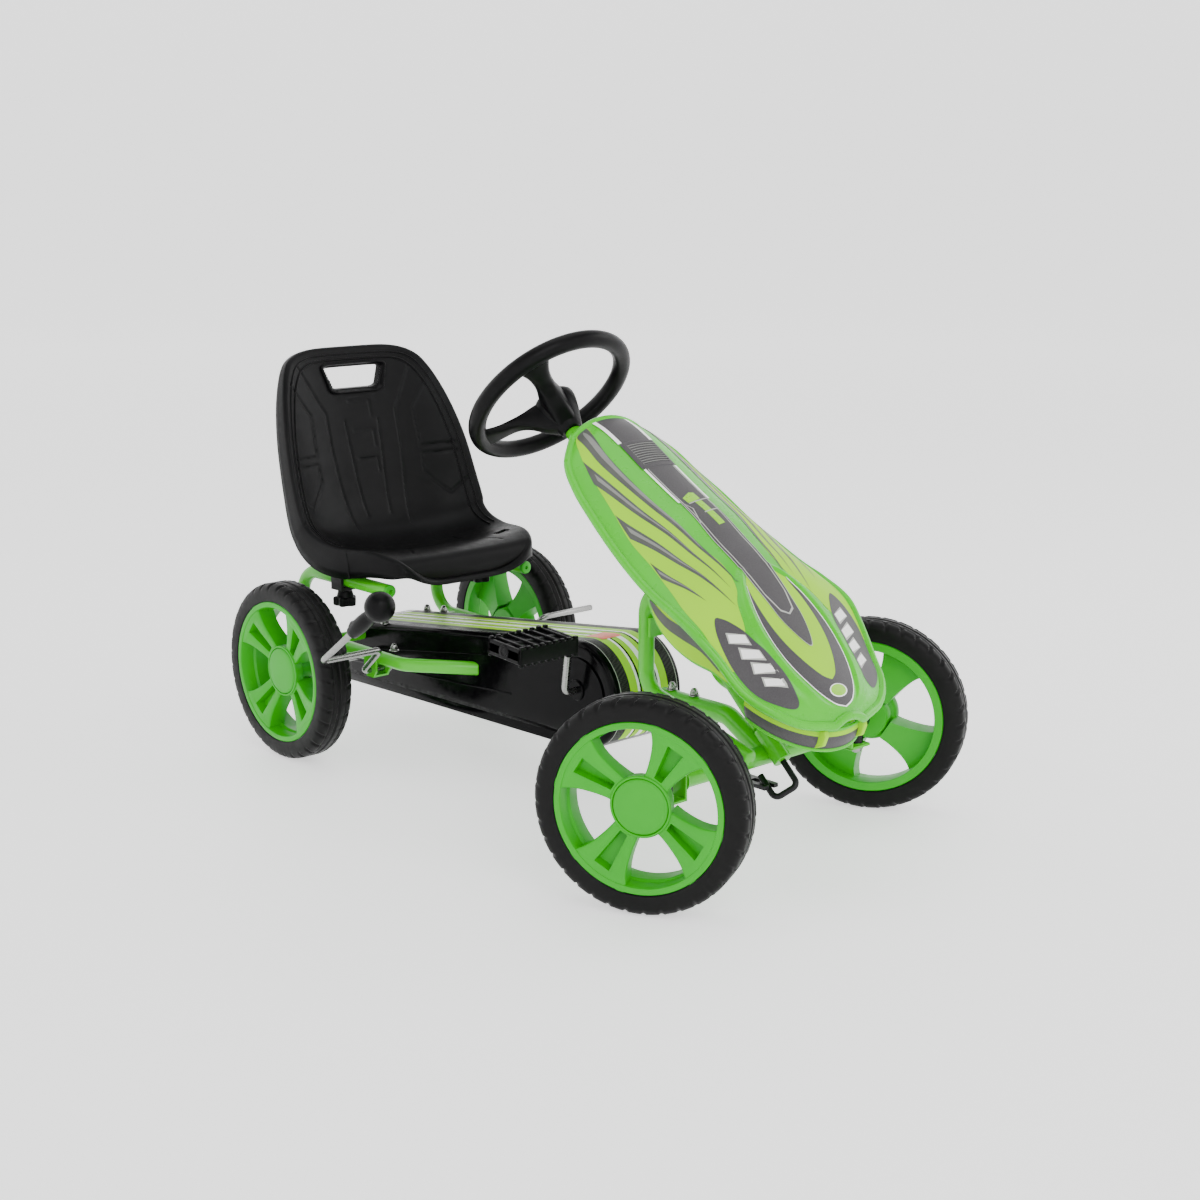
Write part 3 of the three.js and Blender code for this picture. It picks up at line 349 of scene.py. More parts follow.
def link(name, mesh, material, body, replaces=()):
    made = put(name, mesh)
    mesh.materials.append(MATERIALS[material])
    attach(made, body)
    if replaces:
        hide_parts(*replaces)
    return made


def mesh_of(name, shape, sharp=35, to_row=True):
    shift = Vector((0, REAR_AXLE_Y, 0)) if to_row else Vector()
    mesh = bpy.data.meshes.new(name)
    mesh.from_pydata([(p + shift) / 1000 for p in shape[0]], [], shape[1])
    work = bmesh.new()
    work.from_mesh(mesh)
    bmesh.ops.remove_doubles(work, verts=work.verts, dist=1e-6)
    bmesh.ops.recalc_face_normals(work, faces=work.faces)
    work.to_mesh(mesh)
    work.free()
    mesh.shade_smooth()
    mesh.set_sharp_from_angle(angle=math.radians(sharp))
    return mesh


def piece(name, shape, material, body="frame", replaces=(), sharp=35):
    return link(name, mesh_of(name, shape, sharp), material, body, replaces)


def fine(node, shape, material, body="frame", sharp=35):
    """The close-up piece that stands for one CAD node."""
    return piece(f"{node}_fine", shape, material, body, [node], sharp)


def thicken(made, thickness):
    """Gives a sheet a wall, inwards from its outer face. The thickness is in metres."""
    wall = made.modifiers.new("wall", "SOLIDIFY")
    wall.thickness = thickness
    wall.offset = -1


def between(rows, station):
    """Smooth values from a short table of [station, value, ...] rows."""
    k = 0
    while k < len(rows) - 2 and rows[k + 1][0] < station:
        k += 1
    left, right = rows[k], rows[k + 1]
    before, after = rows[max(k - 1, 0)], rows[min(k + 2, len(rows) - 1)]
    span = right[0] - left[0]
    t = min(1, max(0, (station - left[0]) / span))
    values = []
    for n in range(1, len(left)):
        m0 = (right[n] - before[n]) / (right[0] - before[0]) * span
        m1 = (after[n] - left[n]) / (after[0] - left[0]) * span
        values.append(
            left[n] * (2 * t**3 - 3 * t**2 + 1) + m0 * (t**3 - 2 * t**2 + t)
            + right[n] * (3 * t**2 - 2 * t**3) + m1 * (t**3 - t**2)
        )
    return values


def step_up(value, low, high):
    t = min(1, max(0, (value - low) / (high - low)))
    return t * t * (3 - 2 * t)


# ---------- wheels: the axle runs along x, the outer face is at x = 0 and the car at -x ----------
NOTCHES = 36
TREAD = [
    (101.4, -1.4), (102.4, -0.5), (106, -0.1), (112, 0), (117, -0.4), (120, -1.2), (122.4, -2.6),
    (124.4, -4.6), (125.8, -7), (126.6, -9.6), (126.9, -12.5), (126.3, -13.6), (126.3, -14.6), (126.9, -15.6),
    (126.9, -21.2), (126.2, -22.2), (125.4, -22.8), (125.3, -24.15),
]


def tyre_shape():
    """Smooth side walls, hooked notches round both shoulders and fine ridge lines on the tread."""
    far = [(r, -TYRE_WIDTH - x) for r, x in reversed(TREAD[:-1])]
    profile = TREAD + far
    columns = NOTCHES * 14

    def point(u, v):
        r, x = profile[round(v * (len(profile) - 1))]
        near = x > -TYRE_WIDTH / 2
        depth = -x if near else TYRE_WIDTH + x
        share = (u * NOTCHES + (0 if near else 0.5) + depth * 0.02) % 1
        shoulder = step_up(r, 117.5, 121.5) * (1 - step_up(depth, 11.5, 13))
        notch = step_up(share, 0.36, 0.44) * (1 - step_up(share, 0.56, 0.64))
        ridge = step_up(share, 0.64, 0.7) * (1 - step_up(share, 0.7, 0.8))
        r -= shoulder * (2.1 * notch - 0.35 * ridge)
        r -= 0.5 * step_up(depth, 13, 14) * (1 - step_up(depth, 15, 16)) * notch
        angle = 2 * math.pi * u
        return (x, r * math.cos(angle), r * math.sin(angle))

    wall = grid(columns, len(profile) - 1, point, wrap=True)
    inner = [(101.4, -1.4), (101.4, -46.9)]
    bead = [[(x, r * math.cos(t), r * math.sin(t)) for t in turns(columns)] for r, x in inner]
    return merge(wall, loft(bead, capped=False))


def spoke_shape():
    """One broad spoke along +y: it flares at the rim and holds a deep groove with flat ends."""
    widths = [[30, 15.5], [38, 16.5], [52, 19.5], [68, 24.5], [79, 30], [88, 36.5], [97, 40]]
    faces = [[30, -12.5], [38, -12], [60, -7.5], [80, -3.6], [88, -2.2], [97, -1.8]]
    backs = [[30, -46], [40, -42], [60, -35], [80, -31], [97, -30]]
    loops = []
    for r in (30, 34, 38.6, 39.4, 43, 50, 58, 66, 73, 79, 83.2, 84, 86, 88, 91, 94, 97):
        half, face, back = between(widths, r)[0], between(faces, r)[0], between(backs, r)[0]
        inside = 39 < r < 83.5
        groove = 5 + (r - 39) * 0.115
        deep = 13 if inside else 0
        lip = 0.9 if inside else 0
        edge = 2.4
        arcs = [(math.radians(a), edge) for a in (0, 30, 60, 90)]
        left = [(face - edge + e * math.sin(a), -half + edge - e * math.cos(a)) for a, e in arcs]
        right = [(x, -z) for x, z in reversed(left)]
        middle = [
            (face, -groove - 1.2), (face - lip, -groove), (face - deep, -groove + 1.4),
            (face - deep, groove - 1.4), (face - lip, groove), (face, groove + 1.2),
        ]
        section = left + middle + right + [(back, half - 2.5), (back, 2.5 - half)]
        loops.append([(x, r, z) for x, z in section])
    return loft(loops)


def rim_shape():
    barrel = [
        (101, -2.6), (100.4, -1.3), (99, -0.8), (94.6, -0.8), (93.4, -1.3), (92.8, -2.6), (92.3, -21.5),
        (91, -23), (89.8, -24.4), (89.3, -45.5), (90, -47), (100, -47), (101, -46), (101, -2.6),
    ]
    hub = [
        (6.4, -14.6), (33.3, -14.6), (33.3, -11.2), (33.9, -10.4), (35.6, -10.4), (36.5, -11.4),
        (36.5, -22), (34, -25.5), (30, -28), (28, -46), (26.5, -47.6), (6.4, -48), (6.4, -14.6),
    ]
    spokes = [moved(spoke_shape(), Matrix.Rotation(math.pi / 2 * i, 4, "X")) for i in range(4)]
    return merge(turned(barrel, ALONG_X, ORIGIN, 128), turned(hub, ALONG_X, ORIGIN, 64), *spokes)


def cap_shape():
    profile = [
        (0, -9), (20, -9.05), (29, -9.3), (31.4, -9.8), (32.5, -10.8), (32.9, -12.2), (32.9, -14), (0, -14),
    ]
    return turned(profile, ALONG_X, ORIGIN, 64)


def wheel_matrix(end, side):
    turn = Matrix.Rotation(0 if side > 0 else math.pi, 4, "Z")
    if end == "rear":
        place = Matrix.Translation((side * REAR_FACE_X, REAR_AXLE_Y, WHEEL_R))
        return place @ turn
    kingpin = Matrix.Translation((side * KINGPIN_X, REAR_AXLE_Y - WHEELBASE, WHEEL_R))
    swing = Matrix.Rotation(STEER_ANGLE, 4, "Z")
    return kingpin @ swing @ Matrix.Translation((side * KINGPIN_TO_FACE, 0, 0)) @ turn


def in_metres(matrix):
    made = matrix.copy()
    made.translation = made.translation / 1000
    return made


def build_wheels():
    phases = {"front_right": 59, "front_left": 31, "rear_right": 51, "rear_left": 39}
    bodies = {"front_right": "front_wheel_right", "front_left": "front_wheel_left",
              "rear_right": "rear_axle", "rear_left": "rear_wheel_left"}
    meshes = {
        "tyre": (mesh_of("tyre", tyre_shape(), 32, False), "tyre", "tyre"),
        "rim": (mesh_of("rim", rim_shape(), 38, False), "wheel", "rim"),
        "cap": (mesh_of("cap", cap_shape(), 38, False), "wheel", "hub_cap"),
    }
    for end in ("front", "rear"):
        for side_name, side in SIDES:
            label = f"{end}_{side_name}"
            spin = Matrix.Rotation(math.radians(phases[label]), 4, "X")
            for kind, (mesh, material, node) in meshes.items():
                placed = mesh.copy()
                placed.transform(in_metres(wheel_matrix(end, side) @ spin))
                link(f"{kind}_{label}_fine", placed, material, bodies[label], [f"{node}_{label}"])


# ---------- fairing ----------
# Stations down the fairing: y, ridge height, half width, edge height.
FAIRING = [
    [-862, 207, 25, 199], [-850, 224, 66, 206], [-830, 246, 95, 222], [-800, 276, 114, 243],
    [-768, 305, 125, 279], [-740, 330, 133, 304], [-700, 363, 132, 324], [-665, 386, 129.5, 338],
    [-630, 410, 126, 356], [-585, 435, 119, 382], [-540, 461, 112, 413], [-500, 486, 102, 440],
    [-470, 502, 89, 466], [-444, 512, 58, 492],
]
# The raised hood round the nose: y, inner half width, outer half width.
HOOD = [[-862, 0, 12], [-851, 26, 42], [-837, 38, 57], [-815, 48, 67], [-791, 52, 70], [-767, 51, 70],
        [-743, 43, 62], [-718, 28, 42], [-700, 10, 22]]
HOOD_END_Y = -700
NOSE_Y = -862
TAIL_Y = -444
FAIRING_ROWS = 220


def hood_rise(x, y):
    if y > HOOD_END_Y:
        return 0
    inner, outer = between(HOOD, y)
    ends = step_up(HOOD_END_Y - y, 0, 22) * step_up(y, NOSE_Y, NOSE_Y + 20)
    ridge = step_up(abs(x), inner - 3, inner + 5) * (1 - step_up(abs(x), outer - 7, outer + 1))
    floor = 1 - step_up(abs(x), inner, outer)
    return ends * (4.2 * ridge + 1.2 * floor)


def fairing_height(x, y):
    ridge, half, edge = between(FAIRING, min(TAIL_Y, max(NOSE_Y, y)))
    share = min(1, abs(x) / half)
    return edge + (ridge - edge) * (1 - share**2.2) + hood_rise(x, y)


def row_place(v):
    """Rows lie closer together near the nose, where the outline turns fastest."""
    return NOSE_Y + (TAIL_Y - NOSE_Y) * (0.3 * v + 0.7 * v * v)


def fairing_point(u, v):
    y = row_place(v)
    half = between(FAIRING, y)[1]
    x = math.sin((u - 0.5) * math.pi) * half
    return (x, y, fairing_height(x, y))


def fairing_edge():
    """The outline of the fairing, from the tail down the right side, round the nose and back."""
    run = []
    for i in range(FAIRING_ROWS, -1, -1):
        y = row_place(i / FAIRING_ROWS)
        _, half, edge = between(FAIRING, y)
        run.append(Vector((-half, y, edge)))
    nose = [Vector((x, NOSE_Y - 1, fairing_height(x, NOSE_Y))) for x in (-18, -12, -6, 0, 6, 12, 18)]
    back = [Vector((-p.x, p.y, p.z)) for p in reversed(run)]
    tail = [Vector((x, TAIL_Y, fairing_height(x, TAIL_Y))) for x in (58 - 116 * i / 16 for i in range(1, 16))]
    return run + nose + back + tail


def smooth_outline(corners, steps=5):
    """A closed curve through the corners."""
    made = []
    count = len(corners)
    for k in range(count):
        a, b, c, d = (Vector((*corners[(k + n) % count], 0)) for n in (-1, 0, 1, 2))
        for i in range(steps):
            t = i / steps
            made.append(0.5 * (2 * b + (c - a) * t + (2 * a - 5 * b + 4 * c - d) * t * t
                               + (3 * b - a - 3 * c + d) * t**3))
    return [(p.x, p.y) for p in made]


def smooth_run(corners, steps=5):
    """An open curve through the corners."""
    made = []
    for k in range(len(corners) - 1):
        a, b = corners[max(k - 1, 0)], corners[k]
        c, d = corners[k + 1], corners[min(k + 2, len(corners) - 1)]
        for i in range(steps):
            t = i / steps
            made.append(tuple(0.5 * (2 * q + (r - p) * t + (2 * p - 5 * q + 4 * r - s) * t * t
                                     + (3 * q - p - 3 * r + s) * t**3) for p, q, r, s in zip(a, b, c, d)))
    return [*made, corners[-1]]


def laid_sheet(outline, height, lift, cell=5.0):
    """Cuts a flat outline of (x, y) pairs into small cells and lays it on a height field."""
    mesh = bmesh.new()
    mesh.faces.new([mesh.verts.new((x, y, 0)) for x, y in outline])
    for axis, values in ((0, [p[0] for p in outline]), (1, [p[1] for p in outline])):
        place = math.floor(min(values) / cell) * cell + cell
        while place < max(values):
            at, normal = Vector((0, 0, 0)), Vector((0, 0, 0))
            at[axis], normal[axis] = place, 1
            everything = list(mesh.verts) + list(mesh.edges) + list(mesh.faces)
            bmesh.ops.bisect_plane(mesh, geom=everything, plane_co=at, plane_no=normal, dist=1e-4)
            place += cell
    bmesh.ops.triangulate(mesh, faces=[f for f in mesh.faces if len(f.verts) > 4])
    mesh.verts.index_update()
    points = [Vector((v.co.x, v.co.y, height(v.co.x, v.co.y) + lift)) for v in mesh.verts]
    faces = [[v.index for v in f.verts] for f in mesh.faces]
    mesh.free()
    return points, faces


FIRST_FILM = 0.25
FILM_STEP = 0.2


def decal(name, outlines, material, layer, mirror=False, curved=True, cell=5.0):
    """A printed film on the fairing. Higher layers lie on top of lower ones."""
    shapes = []
    for outline in outlines:
        closed = smooth_outline(outline) if curved else outline
        shape = laid_sheet(closed, fairing_height, FIRST_FILM + FILM_STEP * layer, cell)
        shapes.append(both(shape) if mirror else shape)
    return piece(name, merge(*shapes), material, sharp=60)


def taper(first, last, tip, bow, steps=10):
    """A wedge from a short base, first to last, that thins to its tip along two gently bowed sides."""
    sides = []
    for base in (first, last):
        middle = ((base[0] + tip[0]) / 2 + bow, (base[1] + tip[1]) / 2)
        line = []
        for t in (i / steps for i in range(steps + 1)):
            line.append(tuple((1 - t) ** 2 * b + 2 * t * (1 - t) * m + t * t * e
                              for b, m, e in zip(base, middle, tip)))
        sides.append(line)
    return sides[0] + sides[1][-2::-1]


def inner_start(first, last, tip, bow):
    """The pale core of a wedge: the middle of its base and a shorter tip."""
    def share(a, b, t):
        return tuple(p + (q - p) * t for p, q in zip(a, b))

    low, high = share(first, last, 0.3), share(first, last, 0.62)
    return share(low, tip, 0.06), share(high, tip, 0.06), share(share(first, last, 0.45), tip, 0.8), bow * 0.8


def build_fairing_decals():
    panel = [(40, -447), (47, -475), (53, -508), (53, -563), (52, -626), (46, -670), (42, -700), (48, -724),
             (62, -740), (74, -764), (90, -778), (112, -786), (123, -776), (125, -750), (125, -718),
             (116, -676), (111, -646), (107, -607), (98, -568), (90, -530), (80, -489), (62, -454)]
    decal("decal_side_panels", [panel], "lime", 0, mirror=True)
    first = [(40, -447), (50, -449), (60, -455), (66, -490), (67, -519), (62, -575), (54, -650), (41, -722),
             (46, -670), (51, -626), (53, -575), (53, -508), (47, -475)]
    gleam = [(48, -458), (53, -460), (59, -490), (60, -520), (57, -580), (48, -670), (53, -580), (55, -520)]
    decal("decal_streak_first", [first], "streak", 1, mirror=True, cell=4)
    decal("decal_gleam_first", [gleam], "shine", 2, mirror=True, cell=4)
    starts = [((79, -486), (89, -518), (55, -724), 4), ((97, -565), (104, -600), (65, -742), 4),
              ((109, -640), (113, -664), (95, -722), 2)]
    dark = [taper(*start) for start in starts]
    pale = [taper(*inner_start(*start)) for start in starts]
    decal("decal_streaks", dark, "streak", 1, mirror=True, curved=False, cell=4)
    decal("decal_streak_shine", pale, "shine", 2, mirror=True, curved=False, cell=4)
    leaf = [(102, -742), (112, -756), (115, -778), (110, -797), (100, -818), (84, -833), (68, -841),
            (60, -837), (60, -820), (64, -799), (68, -784), (75, -767), (84, -755), (93, -746)]
    decal("decal_lamp_leaf", [leaf], "grey", 1, mirror=True)
    lamps = [
        [(99, -760), (102, -767), (79, -776), (79, -768)], [(94, -776), (97, -783), (72, -793), (73, -785)],
        [(89, -791), (92, -798), (67, -808), (69, -800)], [(86, -806), (88, -812), (65, -823), (66, -816)],
    ]
    glow = []
    for lamp in lamps:
        cx, cy = sum(p[0] for p in lamp) / 4, sum(p[1] for p in lamp) / 4
        glow.append([(cx + (x - cx) * 1.14, cy + (y - cy) * 1.3) for x, y in lamp])
    decal("decal_lamp_glow", glow, "light_line", 2, mirror=True, curved=False, cell=4)
    decal("decal_lamps", lamps, "white", 3, mirror=True, curved=False, cell=4)
    outer = [(34, -727), (42, -744), (47, -760), (49.5, -777), (49, -794), (45, -812), (38, -828), (28, -843),
             (15, -853), (0, -857)]
    arch = [(34, -727), (37.5, -744), (38.8, -760), (38, -776), (34.5, -792), (28.5, -806), (20.5, -819),
            (10.5, -830), (0, -835)]
    outer, arch = smooth_run(outer), smooth_run(arch)
    chevron = outer + [(-x, y) for x, y in reversed(outer[:-1])] + [(-x, y) for x, y in arch[1:]]
    chevron += list(reversed(arch[1:-1]))
    lime = [(20, -712)] + arch + [(-x, y) for x, y in reversed(arch[:-1])] + [(-20, -712)]
    line = [(x * 1.02, y - 0.9 if y < -800 else y) for x, y in outer]
    line += [(-x, y) for x, y in reversed(line[:-1])] + [(-x, y) for x, y in outer[1:]] + outer[-2:0:-1]
    decal("decal_hood_lime", [lime], "lime", 1, curved=False)
    decal("decal_hood_grey", [chevron], "grey", 2, curved=False)
    decal("decal_hood_line", [line], "white", 3, curved=False)
    stripe = [(24, -446), (24, -512), (23, -605), (25, -655), (25, -675), (24, -704), (22, -732), (20, -750),
              (18, -768), (13, -783), (6, -796), (0, -801)]
    stripe = stripe + [(-x, y) for x, y in reversed(stripe[:-1])]
    decal("decal_stripe_edge", [[(x * 1.045, y - 1 if y < -790 else y) for x, y in stripe]], "light_line", 4)
    decal("decal_stripe", [stripe], "grey", 5)
    bars = [
        [(24, -447), (30, -448), (30, -498), (24, -498)],
        [(24.5, -543), (28, -543), (27, -604), (23.5, -604)],
    ]
    decal("decal_white_bars", bars, "white", 6, mirror=True, curved=False)
    inner = [(22.5, -545), (22, -640), (22, -680), (20.5, -715), (18, -743), (11, -762), (0, -767)]
    line = [*inner, *[(x - 1.4 if x else 0, y + 1.8) for x, y in reversed(inner)]]
    decal("decal_inner_line", [line], "light_line", 6, mirror=True, curved=False, cell=4)
    mark = [
        [(-15, -599), (2, -592), (9, -593), (10, -604), (-2, -607), (-14, -608)],
        [(-3, -608.5), (9, -606), (13, -645), (1, -647)],
    ]
    decal("decal_mark", mark, "badge", 6, curved=False, cell=4)
    brackets = [
        [(-23, -604), (-15, -618), (-23, -640), (-24.4, -640), (-16.6, -618), (-23.4, -604)],
        [(-4, -626), (23, -622), (23, -623.5), (-4, -627.5)],
        [(-14, -609), (20, -604), (20, -605.5), (-14, -610.5)],
    ]
    decal("decal_mark_bracket", brackets, "light_line", 7, curved=False, cell=4)
    for name, scale, material, layer in (("rim", 1.0, "white", 4), ("face", 0.86, "badge", 5)):
        oval = [(14 * scale * math.cos(a), -845 + 5.6 * scale * math.sin(a)) for a in turns(28)]
        decal(f"decal_badge_{name}", [oval], material, layer, curved=False, cell=4)


VENT_RIBS = 9


def vent_shape():
    def point(u, v):
        x, y = -29 + 58 * u, -499 - 43 * v
        wave = math.sin(math.pi * VENT_RIBS * min(1, max(0, (v - 0.14) / 0.76))) ** 2
        edge = step_up(min(u, 1 - u), 0, 0.08) * step_up(min(v, 1 - v), 0, 0.06)
        inside = step_up(min(u - 0.1, 0.9 - u), 0, 0.06) * step_up(min(v - 0.12, 0.92 - v), 0, 0.03)
        return (x, y, fairing_height(x, y) + 1.4 + 2.2 * edge - 2.6 * inside * (1 - wave))

    return grid(40, 150, point)


def build_fairing():
    sheet = grid(140, FAIRING_ROWS, fairing_point)
    thicken(piece("fairing_body", sheet, "body", "frame", ["fairing_shell"], 60), 0.003)
    roll = tube_along([p + Vector((0, 0, -2.6)) for p in fairing_edge()], 5.6, 24, closed=True)
    piece("fairing_rolled_edge", roll, "body", sharp=60)
    piece("fairing_vent", vent_shape(), "grey", sharp=60)
    # Lighter strips laid along the crests of the vent ribs: painted highlights on the rib tops.
    rib_highlights = []
    for i in range(VENT_RIBS):
        y = -507.2 - 3.65 * i
        line = [(-23, y - 0.5), (23, y - 0.5), (23, y + 0.5), (-23, y + 0.5)]
        rib_highlights.append(laid_sheet(line, fairing_height, 3.75, 3))
    piece("fairing_vent_rib_highlights", merge(*rib_highlights), "shine", sharp=60)
    build_fairing_decals()
    build_lip()
    build_wings()


LIP_RADIUS_X, LIP_RADIUS_Y, LIP_CENTRE_Y = 95, 82, -772
LIP_TOP_Z, LIP_HEIGHT, LIP_DIP = 234, 26, 46


def lip_point(u, v, proud=0.0):
    angle = math.pi * (0.05 + 0.9 * u)
    bulge = math.sin(math.pi * v) * 3 + proud
    x = -(LIP_RADIUS_X + bulge) * math.cos(angle)
    y = LIP_CENTRE_Y - (LIP_RADIUS_Y + bulge) * math.sin(angle)
    top = LIP_TOP_Z - LIP_DIP * math.sin(angle)
    return (x * (0.93 + 0.07 * v), y + 5 * (1 - v), top - LIP_HEIGHT * (1 - v))


def build_lip():
    lip = fine("fairing_lip", grid(80, 14, lip_point), "grey", sharp=60)
    thicken(lip, 0.0025)
    upper = grid(80, 5, lambda u, v: lip_point(u, 0.68 + 0.3 * v, 0.6))
    piece("lip_lime_band", upper, "lime", sharp=60)
    shares = [i / 60 for i in range(61)]
    edge = tube_along([Vector(lip_point(u, 1, 1)) for u in shares], 2.6, 12)
    foot = tube_along([Vector(lip_point(u, 0, 0)) for u in shares], 2.2, 12)
    piece("lip_edges", merge(edge, foot), "body", sharp=60)
    fins = []
    for x in (-34, 34):
        angle = math.acos(-x / LIP_RADIUS_X)
        y = LIP_CENTRE_Y - LIP_RADIUS_Y * math.sin(angle)
        top = LIP_TOP_Z - LIP_DIP * math.sin(angle)
        outline = [(y + 10, top), (y - 9, top + 1), (y - 11, top - 6), (y - 6, top - 19), (y + 10, top - 25)]
        fins.append(softened(side_prism(outline, x - 3.4, x + 3.4), 1.6))
    piece("lip_fins", merge(*fins), "lime")


def build_wings():
    outline = [(-652, 330), (-661, 303), (-688, 279), (-724, 263), (-764, 255), (-791, 245), (-776, 264),
               (-742, 292), (-700, 313)]
    curved = smooth_outline(outline, 4)
    streak = smooth_outline([(-655, 326), (-663, 311), (-682, 297), (-708, 288), (-742, 278), (-772, 260),
                             (-745, 286), (-712, 301), (-684, 310)], 4)
    for label, side in SIDES:
        x = side * 121
        fine(f"side_wing_{label}", softened(side_prism(curved, x - 1.6, x + 1.6), 0.8, 2), "body")
        inner = [(y + (-722 - y) * 0.1, z + (281 - z) * 0.16) for y, z in curved]
        piece(f"side_wing_{label}_film", side_prism(inner, x + side * 1.9, x + side * 1.5), "lime")
        film = side_prism(streak, x + side * 2.2, x + side * 1.7)
        piece(f"side_wing_{label}_streak", film, "streak")


# ---------- chain guard ----------
def guard_top(y):
    return 227 - 0.122 * (y - BARREL_Y)


def guard_run(inset=0.0):
    """The guard's outline in the side view, from its lower rear corner over the top and round the barrel."""
    rear = GUARD_REAR_Y - inset
    top_rear = guard_top(rear - 12) - inset
    run = [(rear, 74), (rear, top_rear - 16), (rear - 1.6, top_rear - 8), (rear - 6, top_rear - 2.4),
           (rear - 14, top_rear)]
    for i in range(1, 22):
        y = rear - 14 + (BARREL_Y - rear + 14) * i / 22
        run.append((y, guard_top(y) - inset))
    for i in range(41):
        a = math.radians(90 + 180 * i / 40)
        run.append((BARREL_Y + (BARREL_R - inset) * math.cos(a), BARREL_Z + (BARREL_R - inset) * math.sin(a)))
    return run


def guard_shape():
    """An open-bottomed shell: its top and barrel meet the flat sides in a round shoulder."""
    shoulder = 9
    bottom = [(y, 72 + (62 - y) * 0.025) for y in (-440, -300, -150, 0, 40, 62)]
    rows = [(-GUARD_X, shoulder + 1), (-GUARD_X, shoulder)]
    for degrees in (75, 60, 45, 30, 15, 0):
        turn = math.radians(degrees)
        rows.append((-GUARD_X + shoulder * (1 - math.sin(turn)), shoulder * (1 - math.cos(turn))))
    rows += [(-x, inset) for x, inset in reversed(rows)]
    strips = [[(x, y, z) for y, z in guard_run(inset)] for x, inset in rows]
    points = [Vector(p) for strip in strips for p in strip]
    size = len(strips[0])
    faces = []
    for k in range(len(strips) - 1):
        for i in range(size - 1):
            a = k * size + i
            faces.append([a, a + 1, a + 1 + size, a + size])
    skin = (points, faces)
    panels = []
    for x in (-GUARD_X, GUARD_X):
        run = guard_run(shoulder + 1)
        panels.append(([Vector((x, y, z)) for y, z in run + bottom], [list(range(len(run) + len(bottom)))]))
    return merge(skin, *panels)


def guard_strip(x_low, x_high, start, end, lift):
    """A printed band on the guard's top, which runs on round the barrel."""
    run = guard_run(-lift)[start:end]
    points = [Vector((x, y, z)) for x in (x_low, x_high) for y, z in run]
    size = len(run)
    return points, [[i, i + 1, i + 1 + size, i + size] for i in range(size - 1)]


# Bands on the guard: name, material, and strips of (low x, high x, lift).
GUARD_BANDS = (
    ("guard_weave", "weave", ((-49, -33, 0.3), (33, 49, 0.3))),
    ("guard_lime", "lime", ((-33, -20, 0.35), (20, 33, 0.35), (-13, 13, 0.35))),
    ("guard_white", "white", ((-20, -16, 0.45), (16, 20, 0.45), (-4, 4, 0.55))),
    ("guard_fine_lines", "light_line", ((-50, -49, 0.4), (49, 50, 0.4))),
)
GUARD_BAND_RUN = (5, 58)


def build_guard():
    thicken(piece("guard_body", guard_shape(), "gloss", "frame", ["guard_cover"], 40), 0.0022)
    for name, material, strips in GUARD_BANDS:
        films = [guard_strip(low, high, *GUARD_BAND_RUN, lift) for low, high, lift in strips]
        piece(name, merge(*films), material, sharp=60)
    piece("guard_flash", guard_strip(-28, 6, 25, 29, 0.7), "red", sharp=60)
    for label, side in SIDES:
        x = side * GUARD_X
        arch = [(BARREL_Y + 51 * math.cos(math.radians(a)), BARREL_Z + 51 * math.sin(math.radians(a)))
                for a in range(90, 271, 9)]
        panel = [(58, guard_top(58) - 40), (-380, guard_top(-380) - 26)] + arch + [(-380, 101), (58, 90)]
        step = softened(side_prism(panel, x - 1, x + side * 2.4), 1.8, 4)
        rim = [(66, 73), (66, 84), (-440, 97), (-440, 84)]
        foot = softened(side_prism(rim, x - 1, x + side * 1.4), 0.9, 2)
        crease = [(50, 104), (50, 107), (-320, 131), (-320, 128)]
        line = softened(side_prism(crease, x + side * 2, x + side * 3.4), 0.6, 2)
        boss = [(0, 0), (13, 0), (14, 1), (14, 4.2), (12.6, 5.4), (0, 5.4)]
        boss = turned(boss, (side, 0, 0), (x, CRANK_Y, CRANK_Z), 40)
        piece(f"guard_side_{label}_relief", merge(step, foot, line, boss), "gloss", "frame",
              [f"guard_side_{label}"])


# ---------- tubes ----------
def build_frame_tubes():
    ladder = []
    for _, side in SIDES:
        x = side * LADDER_X
        ladder.append(tube([(x, -511, LADDER_Z), (x, 30, 147)], 11))
        hanger = [(-20, 147), (-14, 108), (14, 108), (20, 147)]
        ladder.append(softened(side_prism(hanger, x - 2, x + 2), 0.8, 2))
    ladder.append(tube([(-LADDER_X, -511, LADDER_Z), (LADDER_X, -511, LADDER_Z)], 9))
    ladder.append(tube([(-113, 30, RAIL_LOW_Z), (113, 30, RAIL_LOW_Z)], 8))
    ladder.append(tube([(0, -511, LADDER_Z), (0, -625, LADDER_Z)], 9.5))
    piece("main_frame_tubes", merge(*ladder), "paint", "frame", ["main_frame"])
    for label, side in SIDES:
        x = side * RAIL_X
        rail = [(x, -127, RAIL_TOP_Z), (x, 89, RAIL_TOP_Z), (x, 89, RAIL_LOW_Z), (x, -158, RAIL_LOW_Z),
                (side * 57, -246, RAIL_LOW_Z)]
        fine(f"seat_rail_{label}", tube(rail, RAIL_R, 40, 32, 16), "paint", sharp=60)
        cap = [(0, 0), (RAIL_R, 0), (RAIL_R, 3), (9, 4.2), (7.8, 5), (2.6, 5), (2.2, 4.2), (2.2, 2), (0, 2)]
        fine(f"rail_cap_{label}", turned(cap, (0, -1, 0), (x, -127.3, RAIL_TOP_Z)), "wheel")
        x = side * SUPPORT_X
        post = [(x, -668, 362), (x, POST_Y, 304), (x, POST_Y, 191), (x, -764, 141.5)]
        fine(f"support_tube_{label}", tube(post, 10, 34, 32, 16, 2), "paint", sharp=60)


